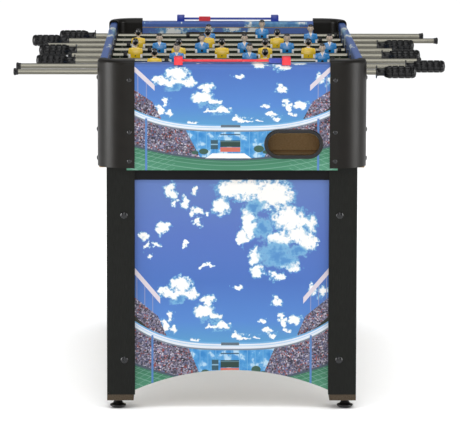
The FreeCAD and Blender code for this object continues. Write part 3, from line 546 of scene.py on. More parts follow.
        # Everything under the roof: glass in the middle, crowd at the sides.
        below = add_node(tree, "Math", {0: above, 1: 0.0}, operation="LESS_THAN")
        colour = add_node(tree, "Mix", {0: below, 6: colour, 7: self.glass(tree, u, v)}, data_type="RGBA")
        inner_line = add_node(tree, "Math",
                              {0: v, 1: self.glass_end.slope, 2: self.glass_end.start},
                              operation="MULTIPLY_ADD")
        outside = add_node(tree, "Math", {0: side, 1: inner_line}, operation="GREATER_THAN")
        lower = add_node(tree, "Math", {0: outside, 1: below}, operation="MULTIPLY")
        colour = add_node(tree, "Mix", {0: lower, 6: colour, 7: crowd}, data_type="RGBA")
        colour = self.roof(tree, u, v, above, colour)
        colour = self.pitch(tree, u, v, side, depth, colour)
        pole = self.window(tree, side, v, (178.5, 183.0, 0.0, 168.0))
        return add_node(tree, "Mix", {0: pole, 6: colour, 7: linear("#5581bd")}, data_type="RGBA")

    def crowd(self, tree: Tree, grain: Node, above: Node) -> Node:
        """Seated people as small cells of mixed colours, in rows.

        Args:
            tree: the material's node tree.
            grain: true millimetres over the board.
            above: height over the roof's line.

        Returns:
            The crowd's colour.
        """
        cells = add_node(tree, "TexVoronoi",
                         {"Vector": grain, "Scale": 1 / self.person, "Randomness": 0.9},
                         voronoi_dimensions="2D")
        pick = add_node(tree, "SeparateColor", {"Color": cells.outputs["Color"]})
        people = add_node(tree, "ValToRGB", {"Fac": pick.outputs[0]},
                          stops=[(0.0, "#3c3a48"), (0.16, "#625d6c"), (0.38, "#7f788c"), (0.58, "#a29cae"),
                                 (0.74, "#6c7096"), (0.86, "#a3544e"), (0.94, "#cfcad4")])
        people.color_ramp.interpolation = "CONSTANT"
        patches = add_node(tree, "TexNoise",
                           {"Vector": grain, "Scale": 1 / self.crowd_patch}).outputs["Fac"]
        rows = add_node(tree, "Math", {0: above, 1: self.row}, operation="PINGPONG")
        rows = add_node(tree, "MapRange", {"Value": rows, "From Max": self.row, "To Min": 0.62})
        light = add_node(tree, "Math", {0: rows, 1: patches}, operation="MULTIPLY")
        light = add_node(tree, "MapRange", {"Value": light, "From Min": 0.2, "From Max": 0.6,
                                                      "To Min": 0.6, "To Max": 1.05})
        return add_node(tree, "VectorMath", {0: people.outputs[0], "Scale": light}, operation="SCALE")

    def canopy(self, tree: Tree, side: Node, v: Node, top_line: Node, colour: Node) -> Node:
        """The pale canopy over the upper stands, on thin struts.

        Args:
            tree: the material's node tree.
            side: distance from the picture's middle line.
            v: up the picture.
            top_line: height of the stands' top.
            colour: what is drawn so far.

        Returns:
            The colour with the canopy drawn over it.
        """
        slope = add_node(tree, "Math",
                         {0: side, 1: self.canopy_line.slope, 2: self.canopy_line.start},
                         operation="MULTIPLY_ADD")
        strip = add_node(tree, "Math", {0: v, 1: slope, 2: self.canopy_half}, operation="COMPARE")
        reach = add_node(tree, "Math", {0: side, 1: self.canopy_start}, operation="GREATER_THAN")
        strip = add_node(tree, "Math", {0: strip, 1: reach}, operation="MULTIPLY")
        struts = add_node(tree, "Math", {0: side, 1: self.strut_gap}, operation="PINGPONG")
        struts = add_node(tree, "Math", {0: struts, 1: self.strut_half}, operation="LESS_THAN")
        under = add_node(tree, "Math", {0: v, 1: slope}, operation="LESS_THAN")
        over = add_node(tree, "Math", {0: v, 1: top_line}, operation="GREATER_THAN")
        for limit in (under, over, reach):
            struts = add_node(tree, "Math", {0: struts, 1: limit}, operation="MULTIPLY")
        colour = add_node(tree, "Mix", {0: struts, 6: colour, 7: linear("#8d95bb")}, data_type="RGBA")
        return add_node(tree, "Mix", {0: strip, 6: colour, 7: linear("#dcd3da")}, data_type="RGBA")

    def glass(self, tree: Tree, u: Node, v: Node) -> Node:
        """Glass front that mirrors the sky, with a dark lounge window and an orange balcony.

        Args:
            tree: the material's node tree.
            u: across the picture from its middle.
            v: up the picture.

        Returns:
            The front's colour.
        """
        picture = add_node(tree, "CombineXYZ", {"X": u, "Y": v})
        mirrored = add_node(tree, "TexNoise",
                            {"Vector": picture, "Scale": 1 / self.mirrored_cloud, "Detail": 5.0},
                            noise_dimensions="2D")
        panes = add_node(tree, "ValToRGB", {"Fac": mirrored.outputs["Fac"]},
                         stops=[(0.35, "#3585c9"), (0.55, "#57a0d6"), (0.64, "#b5d6ea")])
        bars = add_node(tree, "Math", {0: u, 1: self.pane}, operation="PINGPONG")
        bars = add_node(tree, "Math", {0: bars, 1: self.pane_bar}, operation="LESS_THAN")
        front = add_node(tree, "Mix", {0: bars, 6: panes, 7: linear("#6ba9d6")}, data_type="RGBA")
        # The lounge window and its sill, the side window and its sill, the balcony, the top panel
        boxes = (((-25, 17, 93, 110), "#2f4640"), ((-25, 17, 106, 108), "#5d7f86"),
                 ((-45, -30, 87, 111), "#3b5a66"), ((-45, -30, 98, 101), "#8fb6cc"),
                 ((-25, 17, 80, 92), "#cf6f5c"), ((-25, 17, 124, 127), "#3f5f7c"))
        for box, shade in boxes:
            mask = self.window(tree, u, v, box)
            front = add_node(tree, "Mix", {0: mask, 6: front, 7: linear(shade)}, data_type="RGBA")
        return front

    def roof(self, tree: Tree, u: Node, v: Node, above: Node, colour: Node) -> Node:
        """The roof's white edge, its blue upper line and grey underside.

        Args:
            tree: the material's node tree.
            u: across the picture from its middle.
            v: up the picture.
            above: height over the roof's line.
            colour: what is drawn so far.

        Returns:
            The colour with the roof drawn over it.
        """
        # The upper line, the underside, the white edge and the pale line along it
        for middle, half, shade in ((7.5, 2.2, "#74aedb"), (-6.8, 1.8, "#7c8894"), (0.5, 5.5, "#dfe6ee"),
                                    (1.6, 0.7, "#9fc9ea")):
            band = add_node(tree, "Math", {0: above, 1: middle, 2: half}, operation="COMPARE")
            colour = add_node(tree, "Mix", {0: band, 6: colour, 7: linear(shade)}, data_type="RGBA")
        box = self.window(tree, u, v, (-24, 17, 144.5, 151))
        return add_node(tree, "Mix", {0: box, 6: colour, 7: linear("#5f6f7c")}, data_type="RGBA")

    def pitch(self, tree: Tree, u: Node, v: Node, side: Node, depth: Node, colour: Node) -> Node:
        """Mown grass with pale curved lines, a tent, trees and a dark foot to the stands.

        Args:
            tree: the material's node tree.
            u: across the picture from its middle.
            v: up the picture.
            side: distance from the picture's middle line.
            depth: depth under the far edge of the grass.
            colour: what is drawn so far.

        Returns:
            The colour with the pitch drawn over it.
        """
        on_grass = add_node(tree, "Math", {0: depth, 1: 0.0}, operation="GREATER_THAN")
        foot = add_node(tree, "Math", {0: depth, 1: -2.5, 2: 3.0}, operation="COMPARE")
        near = add_node(tree, "MapRange", {"Value": depth, "From Max": self.pitch_depth})
        grass = add_node(tree, "ValToRGB", {"Fac": near},
                         stops=[(0.0, "#3d7a5c"), (0.5, "#4a8a6b"), (1.0, "#5a987c")])
        # Lines that crowd together with distance, and slanting ones at the sides
        curve = add_node(tree, "Math", {0: depth, 1: self.furrow_power}, operation="POWER")
        lines = add_node(tree, "Math", {0: curve, 1: self.furrow_gap}, operation="PINGPONG")
        lines = add_node(tree, "Math", {0: lines, 1: self.furrow_half}, operation="LESS_THAN")
        slant = add_node(tree, "Math", {0: v, 1: self.ray_slope, 2: side}, operation="MULTIPLY_ADD")
        rays = add_node(tree, "Math", {0: slant, 1: self.ray_gap}, operation="PINGPONG")
        rays = add_node(tree, "Math", {0: rays, 1: self.ray_half}, operation="LESS_THAN")
        far = add_node(tree, "Math", {0: side, 1: self.ray_start}, operation="GREATER_THAN")
        rays = add_node(tree, "Math", {0: rays, 1: far}, operation="MULTIPLY")
        marks = add_node(tree, "Math", {0: lines, 1: rays}, operation="MAXIMUM")
        marks = add_node(tree, "Math", {0: marks, 1: self.marking}, operation="MULTIPLY")
        green = add_node(tree, "Mix", {0: marks, 6: grass, 7: linear("#a9d0c4")}, data_type="RGBA")
        colour = add_node(tree, "Mix", {0: foot, 6: colour, 7: linear("#4a5a66")}, data_type="RGBA")
        colour = add_node(tree, "Mix", {0: on_grass, 6: colour, 7: green}, data_type="RGBA")
        picture = add_node(tree, "CombineXYZ", {"X": u, "Y": v})
        trees = self.patches(tree, picture, (Cloud(56, 88, 13, 11), Cloud(-60, 81, 12, 9),
                                             Cloud(72, 80, 10, 6), Cloud(-78, 78, 9, 6)))
        trees = add_node(tree, "Math", {0: trees, 1: 0.18}, operation="GREATER_THAN")
        colour = add_node(tree, "Mix", {0: trees, 6: colour, 7: linear("#3f5f52")}, data_type="RGBA")
        lean = add_node(tree, "Math", {0: u, 1: self.tent_middle}, operation="SUBTRACT")
        lean = add_node(tree, "Math", {0: lean}, operation="ABSOLUTE")
        lean = add_node(tree, "Math", {0: v, 1: self.tent_slope, 2: lean}, operation="MULTIPLY_ADD")
        tent = add_node(tree, "Math", {0: lean, 1: self.tent_peak}, operation="LESS_THAN")
        body = self.window(tree, u, v, (-57, 41, 63, 76))
        tent = add_node(tree, "Math", {0: tent, 1: body}, operation="MULTIPLY")
        return add_node(tree, "Mix", {0: tent, 6: colour, 7: linear("#f7f5f4")}, data_type="RGBA")

    def board(self, tree: Tree, depth: Node, height: Node, grain: Node,
              colour: Node) -> tuple[Node, Node]:
        """Keep the print to the board's faces, with raw board behind it, and colour the rail near-black: its
        own dark colour with painted shade from the apron above it.

        Args:
            tree: the material's node tree.
            depth: distance from the table's middle plane, square to the board.
            height: height above the floor.
            grain: true millimetres over the board.
            colour: the printed picture.

        Returns:
            The colour, and a mask that is one where no film covers the board.
        """
        film: Node | float = 0.0
        for low, high in (self.printed, self.also_printed):
            band = add_node(tree, "Math", {0: depth, 1: (low + high) / 2, 2: (high - low) / 2},
                            operation="COMPARE")
            film = add_node(tree, "Math", {0: film, 1: band}, operation="MAXIMUM")
        top = add_node(tree, "Math", {0: height, 1: self.wrap_top}, operation="GREATER_THAN")
        film = add_node(tree, "Math", {0: film, 1: top}, operation="MAXIMUM")
        bare = add_node(tree, "Math", {0: 1.0, 1: film}, operation="SUBTRACT")
        fibres = add_node(tree, "TexNoise", {"Vector": grain, "Scale": 1 / self.fibre, "Detail": 5.0})
        brown = add_node(tree, "ValToRGB", {"Fac": fibres}, stops=[(0.3, "#a1835b"), (0.7, "#c4a57b")])
        colour = add_node(tree, "Mix", {0: bare, 6: colour, 7: brown}, data_type="RGBA")
        # The rail's near-black is partly its own colour and partly painted shade from the apron above it.
        rail = add_node(tree, "Math", {0: height, 1: self.rail_bottom}, operation="GREATER_THAN")
        proud = add_node(tree, "Math", {0: depth, 1: self.face + self.proud}, operation="GREATER_THAN")
        rail = add_node(tree, "Math", {0: rail, 1: proud}, operation="MULTIPLY")
        black = add_node(tree, "ValToRGB", {"Fac": fibres}, stops=[(0.3, "#070809"), (0.7, "#0d0e11")])
        colour = add_node(tree, "Mix", {0: rail, 6: colour, 7: black}, data_type="RGBA")
        return colour, bare


@dataclass(frozen=True)
class FieldPrint(Finish):
    """Satin print of the playing field: mown stripes and white lines, in millimetres."""

    stripe: float = 79.0
    line: float = 1.6
    touch: tuple[float, float] = (266.0, 540.0)
    area: tuple[float, float] = (150.0, 412.0)
    goal_area: tuple[float, float] = (110.0, 486.0)
    circle: float = 82.0
    spot: float = 5.0
    penalty: float = 450.0
    roughness: float = 0.38

    def draw(self, tree: Tree) -> dict:
        """Draw the stripes, then every line.

        Args:
            tree: the material's node tree.

        Returns:
            The surface shader's inputs by name.
        """
        place = add_node(tree, "TexCoord").outputs["Object"]
        metres = add_node(tree, "SeparateXYZ", {"Vector": place})
        x = add_node(tree, "Math", {0: metres.outputs["X"]}, operation="ABSOLUTE")
        x = add_node(tree, "Math", {0: x, 1: 1 / MM}, operation="MULTIPLY")
        y = add_node(tree, "Math", {0: metres.outputs["Y"]}, operation="ABSOLUTE")
        y = add_node(tree, "Math", {0: y, 1: 1 / MM}, operation="MULTIPLY")
        mown = add_node(tree, "Math", {0: y, 1: self.stripe}, operation="PINGPONG")
        mown = add_node(tree, "Math", {0: mown, 1: self.stripe / 2}, operation="GREATER_THAN")
        blades = add_node(tree, "TexNoise",
                          {"Vector": place, "Scale": 1 / (1.5 * MM), "Detail": 4.0, "Roughness": 0.7})
        light = add_node(tree, "ValToRGB", {"Fac": blades}, stops=[(0.3, "#114427"), (0.7, "#1b5a36")])
        dark = add_node(tree, "ValToRGB", {"Fac": blades}, stops=[(0.3, "#0d3a20"), (0.7, "#164d2d")])
        colour = add_node(tree, "Mix", {0: mown, 6: light, 7: dark}, data_type="RGBA")
        flat = add_node(tree, "CombineXYZ", {"X": x, "Y": y})
        round_centre = add_node(tree, "VectorMath", {0: flat}, operation="LENGTH")
        from_spot = add_node(tree, "VectorMath", {0: flat, 1: (0.0, self.penalty, 0.0)},
                             operation="DISTANCE")
        masks = [self.outline(tree, x, y, self.touch, 0.0),
                 self.outline(tree, x, y, self.area, self.touch[1]),
                 self.outline(tree, x, y, self.goal_area, self.touch[1]),
                 add_node(tree, "Math", {0: round_centre, 1: self.circle, 2: self.line},
                          operation="COMPARE")]
        # The halfway line, the centre spot and the penalty spot
        for distance, width in ((y, self.line), (round_centre, self.spot), (from_spot, self.spot)):
            masks.append(add_node(tree, "Math", {0: distance, 1: width}, operation="LESS_THAN"))
        white: Node | float = 0.0
        for mask in masks:
            white = add_node(tree, "Math", {0: white, 1: mask}, operation="MAXIMUM")
        inside = add_node(tree, "Math", {0: y, 1: self.touch[1] + self.line}, operation="LESS_THAN")
        white = add_node(tree, "Math", {0: white, 1: inside}, operation="MULTIPLY")
        colour = add_node(tree, "Mix", {0: white, 6: colour, 7: linear("#eef2ec")}, data_type="RGBA")
        bump = add_node(tree, "Bump", {"Height": blades, "Distance": 0.03 * MM, "Strength": 0.5})
        return {"Base Color": colour, "Roughness": self.roughness, "Normal": bump}

    def outline(self, tree: Tree, x: Node, y: Node, corner: tuple[float, float], end: float) -> Node:
        """The line round an area of the field.

        Args:
            tree: the material's node tree.
            x: distance from the middle line along the field.
            y: distance from the halfway line.
            corner: the area's corner.
            end: the touch line's y for an area at a goal, or nought for the whole field.

        Returns:
            The mask's node.
        """
        across = add_node(tree, "Math", {0: x, 1: corner[0] + self.line}, operation="LESS_THAN")
        side_line = add_node(tree, "Math", {0: x, 1: corner[0], 2: self.line}, operation="COMPARE")
        front_line = add_node(tree, "Math", {0: y, 1: corner[1], 2: self.line}, operation="COMPARE")
        front_line = add_node(tree, "Math", {0: front_line, 1: across}, operation="MULTIPLY")
        if end:
            deep = add_node(tree, "Math", {0: y, 1: corner[1] - self.line}, operation="GREATER_THAN")
            side_line = add_node(tree, "Math", {0: side_line, 1: deep}, operation="MULTIPLY")
        return add_node(tree, "Math", {0: side_line, 1: front_line}, operation="MAXIMUM")


@dataclass(frozen=True)
class MattFloor(Finish):
    """Matt white floor paint with the faintest unevenness."""

    patch: float = 2.5
    roughness: float = 0.9

    def draw(self, tree: Tree) -> dict:
        """Vary the white slowly.

        Args:
            tree: the material's node tree.

        Returns:
            The surface shader's inputs by name.
        """
        place = add_node(tree, "TexCoord").outputs["Object"]
        slow = add_node(tree, "TexNoise", {"Vector": place, "Scale": 1 / self.patch})
        tone = add_node(tree, "ValToRGB", {"Fac": slow}, stops=[(0.3, "#f8f8f8"), (0.7, "#fcfcfc")])
        return {"Base Color": tone, "Roughness": self.roughness}


# Acrylonitrile butadiene styrene, spark-textured in the mould: dull black with a broad soft sheen.
COVER_PLASTIC = Moulded("spark_textured_abs", colour="#161411", second="#1e1b17", roughness=0.38,
                        spread=0.04, grain=1.4, relief=0.05, sheen=0.16)
# Glossier moulded trim round the ball ports.
BEZEL_PLASTIC = Moulded("polished_black_abs", colour="#0c0d0e", second="#141516", roughness=0.26,
                        spread=0.05, grain=3.0, relief=0.02, sheen=0.35)
# Natural rubber compound with carbon black: dark and soft, with a dusty bloom.
GRIP_RUBBER = Moulded("carbon_black_rubber", colour="#0e0e0f", second="#171718", roughness=0.26,
                      spread=0.06, grain=0.9, relief=0.03, sheen=0.28)
# Nylon, injection moulded: waxy and half matt.
BUSHING_NYLON = Moulded("black_nylon", colour="#0d0d0e", second="#151516", roughness=0.4, grain=1.5,
                        relief=0.02, sheen=0.3)
# Nylon filled with glass fibre: harder, with a slightly grey skin.
FOOT_PLASTIC = Moulded("glass_filled_nylon", colour="#0c0c0c", second="#161617", roughness=0.36, grain=1.0,
                       relief=0.03, sheen=0.3)
# Hardened steel with a black oxide skin.
BLACK_STEEL = Moulded("black_oxide_steel", colour="#0d0e10", second="#191b1e", roughness=0.22, grain=0.8,
                      relief=0.01, sheen=0.45)
# Gloss enamel sprayed on moulded figures: full colour under a clear skin.
BLUE_SHIRT = Moulded("blue_gloss_paint", colour="#0b84cf", second="#1291de", roughness=0.26, grain=2.0,
                     relief=0.02, coat=0.3)
YELLOW_SHIRT = Moulded("yellow_gloss_paint", colour="#ffcc00", second="#ffd91f", roughness=0.26, grain=2.0,
                       relief=0.02, coat=0.3)
WHITE_PAINT = Moulded("white_gloss_paint", colour="#f1efec", second="#fbf9f6", roughness=0.28, grain=2.0,
                      relief=0.02, coat=0.3)
BLACK_PAINT = Moulded("black_gloss_paint", colour="#0d0c0e", second="#1b181a", roughness=0.25, grain=2.0,
                      relief=0.03, coat=0.3)
SKIN_PAINT = Moulded("skin_tone_paint", colour="#f6d8bc", second="#fde6d0", roughness=0.34, grain=2.0,
                     relief=0.02)
LIP_PAINT = Moulded("rose_paint", colour="#c97f6f", second="#d38c7b", roughness=0.35, grain=2.0,
                    relief=0.01)
# Polystyrene, injection moulded: bright, glossy and a little uneven in tone.
RED_STYRENE = Moulded("red_polystyrene", colour="#ee2136", second="#ff3a46", roughness=0.3, grain=2.5,
                      relief=0.02)
BLUE_STYRENE = Moulded("blue_polystyrene", colour="#2b3fae", second="#3f55b8", roughness=0.3, grain=2.5,
                       relief=0.02)
# Steel tube with nickel and chrome: a grey mirror, drawn out along the tube.
CHROME = PlatedSteel("chrome_plated_tube")
# Fibreboard, sawn and left bare: short tan fibres, no gloss.
RAW_BOARD = Fibreboard("raw_fibreboard")
# Melamine laminate pressed on a pore plate: black, with fine upright pores.
LEG_LAMINATE = LegBoard("black_pore_laminate")
# Vinyl film, printed and pressed on: satin, with a faint orange peel.
FIELD_FILM = FieldPrint("printed_field_film")
PANEL_FILM = StadiumPrint("printed_panel_film", rail_bottom=526.0)
APRON_FILM = StadiumPrint("printed_apron_film", stretch=1.073, squeeze=0.86, level=136 - 642 / 0.86,
                          face=606.5, printed=(606.0, 607.0), wrap_top=780.0)
GOAL_FILM = StadiumPrint("printed_goal_film", stretch=-1.0, level=372 - 690, offset=-14.0,
                         face=554.5, printed=(554.0, 555.0), wrap_top=780.0)
SIDE_FILM = StadiumPrint("printed_side_film", run=Run.ALONG_Y, stretch=2.5, squeeze=0.86,
                         level=136 - 642 / 0.86, face=302.0, printed=(301.5, 302.5),
                         also_printed=(283.5, 284.5), wrap_top=786.0)
FLOOR_PAINT = MattFloor("matt_white_floor")


# ---------------------------------------------------------------- modelling by operators

@dataclass(frozen=True)
class Level:
    """One level of a form that is grown upwards: height, half sizes and sideways shift."""

    height: float
    half_width: float
    half_depth: float
    shift_y: float = 0.0


def deselect() -> None:
    """Leave edit mode and deselect everything."""
    if bpy.context.object and bpy.context.object.mode != "OBJECT":
        bpy.ops.object.mode_set(mode="OBJECT")
    bpy.ops.object.select_all(action="DESELECT")


def focus(piece: Piece) -> None:
    """Select one piece alone and make it active.

    Args:
        piece: the piece to work on.
    """
    deselect()
    piece.select_set(True)
    bpy.context.view_layer.objects.active = piece


def pick_faces(piece: Piece, wanted: Callable[[Face], bool]) -> None:
    """Go into edit mode with only the wanted faces selected.

    Args:
        piece: the piece to edit.
        wanted: tells whether a face is wanted.
    """
    focus(piece)
    bpy.ops.object.mode_set(mode="EDIT")
    bpy.ops.mesh.select_mode(type="FACE")
    bpy.ops.mesh.select_all(action="DESELECT")
    bpy.ops.object.mode_set(mode="OBJECT")
    for face in piece.data.polygons:
        face.select = wanted(face)
    bpy.ops.object.mode_set(mode="EDIT")


def grow(name: str, levels: Sequence[Level], sides: int = 16) -> Piece:
    """Grow a closed form upwards by extruding and resizing its top face.

    Args:
        name: the piece's name.
        levels: the form's levels, from the first one up.
        sides: sides of the outline; four gives a rectangle with its sides along X and Y.

    Returns:
        The piece, in millimetres about its own origin.
    """
    deselect()
    square = sides == 4
    first = levels[0]
    bpy.ops.mesh.primitive_circle_add(vertices=sides, radius=math.sqrt(2) if square else 1.0,
                                      fill_type="NGON", location=(0, first.shift_y, first.height),
                                      rotation=(0, 0, math.pi / 4 if square else 0))
    piece = bpy.context.object
    piece.name = name
    bpy.ops.object.transform_apply(location=True, rotation=True, scale=True)
    bpy.ops.object.mode_set(mode="EDIT")
    bpy.ops.mesh.select_all(action="SELECT")
    bpy.ops.transform.resize(value=(first.half_width, first.half_depth, 1),
                             center_override=(0, first.shift_y, first.height))
    for below, here in zip(levels, levels[1:]):
        step = (0, here.shift_y - below.shift_y, here.height - below.height)
        bpy.ops.mesh.extrude_region_move(TRANSFORM_OT_translate={"value": step})
        bpy.ops.transform.resize(value=(here.half_width / below.half_width,
                                        here.half_depth / below.half_depth, 1),
                                 center_override=(0, here.shift_y, here.height))
    bpy.ops.mesh.select_all(action="SELECT")
    bpy.ops.mesh.normals_make_consistent(inside=False)
    bpy.ops.object.mode_set(mode="OBJECT")
    return piece


def grow_ring(name: str, stations: Sequence[tuple[float, float]], sides: int = 32) -> Piece:
    """Grow a ring by extruding a circle through (height, radius) stations and closing it on itself.

    Args:
        name: the piece's name.
        stations: height and radius of each station round the section.
        sides: sides of the circle.

    Returns:
        The ring, in millimetres about its own origin.
    """
    deselect()
    bpy.ops.mesh.primitive_circle_add(vertices=sides, radius=stations[0][1], fill_type="NOTHING",
                                      location=(0, 0, stations[0][0]))
    piece = bpy.context.object
    piece.name = name
    bpy.ops.object.transform_apply(location=True, rotation=True, scale=True)
    bpy.ops.object.mode_set(mode="EDIT")
    bpy.ops.mesh.select_all(action="SELECT")
    for below, here in zip(stations, stations[1:]):
        bpy.ops.mesh.extrude_edges_move(TRANSFORM_OT_translate={"value": (0, 0, here[0] - below[0])})
        bpy.ops.transform.resize(value=(here[1] / below[1], here[1] / below[1], 1),
                                 center_override=(0, 0, here[0]))
    bpy.ops.mesh.select_all(action="DESELECT")
    bpy.ops.mesh.select_mode(type="EDGE")
    bpy.ops.mesh.select_non_manifold()
    bpy.ops.mesh.bridge_edge_loops()
    bpy.ops.mesh.select_all(action="SELECT")
    bpy.ops.mesh.normals_make_consistent(inside=False)
    bpy.ops.object.mode_set(mode="OBJECT")
    return piece


def round_off(piece: Piece, width: float, segments: int = 2, angle: float = 30.0) -> Piece:
    """Bevel a piece's sharp edges with a modifier, and apply it.

    Args:
        piece: the piece.
        width: the bevel's width.
        segments: how many faces make the rounding.
        angle: the least turn of an edge that is rounded, in degrees.

    Returns:
        The same piece.
    """
    focus(piece)
    bevel = piece.modifiers.new("round", "BEVEL")
    bevel.width = width
    bevel.segments = segments
    bevel.limit_method = "ANGLE"
    bevel.angle_limit = math.radians(angle)
    bpy.ops.object.modifier_apply(modifier=bevel.name)
    return piece


def smooth_form(piece: Piece, levels: int = 1) -> Piece:
    """Subdivide a piece into a smooth form, and apply it.

    Args:
        piece: the piece.
        levels: how often each face is divided.

    Returns:
        The same piece.
    """
    focus(piece)
    surface = piece.modifiers.new("smooth", "SUBSURF")
    surface.levels = levels
    surface.render_levels = levels
    bpy.ops.object.modifier_apply(modifier=surface.name)
    return piece


def cut_away(piece: Piece, cutter: Piece) -> Piece:
    """Cut one piece with another by a modifier, apply it and remove the cutter.

    Args:
        piece: the piece that is cut.
        cutter: the shape that is taken away.

    Returns:
        The same piece.
    """
    focus(piece)
    cut = piece.modifiers.new("cut", "BOOLEAN")
    cut.operation = "DIFFERENCE"
    cut.solver = "EXACT"
    cut.object = cutter
    bpy.ops.object.modifier_apply(modifier=cut.name)
    bpy.data.objects.remove(cutter)
    return piece


def box(name: str, low: Sequence[float], high: Sequence[float]) -> Piece:
    """A plain block between two corners, to be shaped further.

    Args:
        name: the piece's name.
        low: its lowest corner.
        high: its highest corner.

    Returns:
        The block.
    """
    deselect()
    middle = [(a + b) / 2 for a, b in zip(low, high)]
    size = [b - a for a, b in zip(low, high)]
    bpy.ops.mesh.primitive_cube_add(size=1, location=middle, scale=size)
    piece = bpy.context.object
    piece.name = name
    bpy.ops.object.transform_apply(location=True, rotation=True, scale=True)
    return piece


def ball(name: str, middle: Sequence[float], radii: Sequence[float], segments: int = 12) -> Piece:
    """A rounded bead, to be joined to a larger piece.

    Args:
        name: the piece's name.
        middle: its middle.
        radii: its half sizes.
        segments: its sides.

    Returns:
        The bead.
    """
    deselect()
    bpy.ops.mesh.primitive_uv_sphere_add(segments=segments, ring_count=segments * 2 // 3, radius=1,
                                         location=middle, scale=radii)
    piece = bpy.context.object
    piece.name = name
    bpy.ops.object.transform_apply(location=True, rotation=True, scale=True)
    return piece


def paint(piece: Piece, finish: Finish, angle: float = 40.0) -> Piece:
    """Give a whole piece one finish, with its faces smooth up to an angle.

    Args:
        piece: the piece.
        finish: its finish.
        angle: the sharpest turn that stays smooth, in degrees.

    Returns:
        The same piece.
    """
    piece.data.materials.clear()
    piece.data.materials.append(finish.material())
    focus(piece)
    bpy.ops.object.shade_smooth_by_angle(angle=math.radians(angle))
    return piece


def join(name: str, pieces: Sequence[Piece]) -> Piece:
    """Join several painted pieces into one that keeps their finishes.

    Args:
        name: the piece's name.
        pieces: what is joined.

    Returns:
        The joined piece.
    """
    deselect()
    for piece in pieces:
        piece.select_set(True)
    bpy.context.view_layer.objects.active = pieces[0]
    if len(pieces) > 1:
        bpy.ops.object.join()
    joined = bpy.context.view_layer.objects.active
    joined.name = name
    return joined


def copy_to(pattern: Piece, name: str, place: Matrix) -> Piece:
    """Copy a pattern piece, with a mesh of its own, to a place in metres.

    Args:
        pattern: the piece modelled in millimetres about its own origin.
        name: the copy's name.
        place: where the pattern's origin and axes go, in metres.

    Returns:
        The copy, with its place in its mesh.
    """
    copy = pattern.copy()
    copy.data = pattern.data.copy()
    copy.name = name
    bpy.context.scene.collection.objects.link(copy)
    copy.matrix_world = place @ Matrix.Scale(MM, 4)
    focus(copy)
    bpy.ops.object.transform_apply(location=True, rotation=True, scale=True)
    return copy


def fit_out(piece: Piece, body: str, node: str) -> None:
    """Let a piece ride on its body and stand for its CAD node, which it hides.

    Args:
        piece: the finished piece.
        body: the body that carries it.
        node: the CAD node it stands for.
    """
    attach(piece, body)
    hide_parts(node)
    LOG.info("%s rides on %s, %d faces", piece.name, body, len(piece.data.polygons))


def dress(node: str, finish: Finish) -> None:
    """Give a CAD node a finish.

    Args:
        node: the node's name.
        finish: its finish.
    """
    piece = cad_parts[node]
    piece.data.materials.clear()
    piece.data.materials.append(finish.material())
    LOG.info("%s is finished in %s", node, finish.name)


# ---------------------------------------------------------------- sub-assemblies

class End(Enum):
    """The two ends of the table."""

    FRONT = -1
    REAR = 1


class Team(Enum):
    """The two teams: the way each one faces."""

    YELLOW = 1
    BLUE = -1


@dataclass
class Cabinet:
    """Boards, covers, legs and ball returns, which keep the CAD shapes."""

    sides: tuple[str, ...] = ("left", "right")

    def build(self) -> None:
        """Dress every board, cover and leg."""
        dress("playfield", FIELD_FILM)
        for end in End:
            name = end.name.lower()
            dress(f"{name}_apron", APRON_FILM)
            dress(f"{name}_goal_board", GOAL_FILM)
            dress(f"{name}_leg_panel", PANEL_FILM)
            dress(f"{name}_ball_chute", RAW_BOARD)
            for side in self.sides:
                dress(f"{name}_{side}_corner_cover", COVER_PLASTIC)
                dress(f"{name}_{side}_leg", LEG_LAMINATE)
        for side in self.sides:
            dress(f"{side}_side_wall", SIDE_FILM)
        dress("ball_port_bezels", BEZEL_PLASTIC)
        dress("rod_bushings", BUSHING_NYLON)


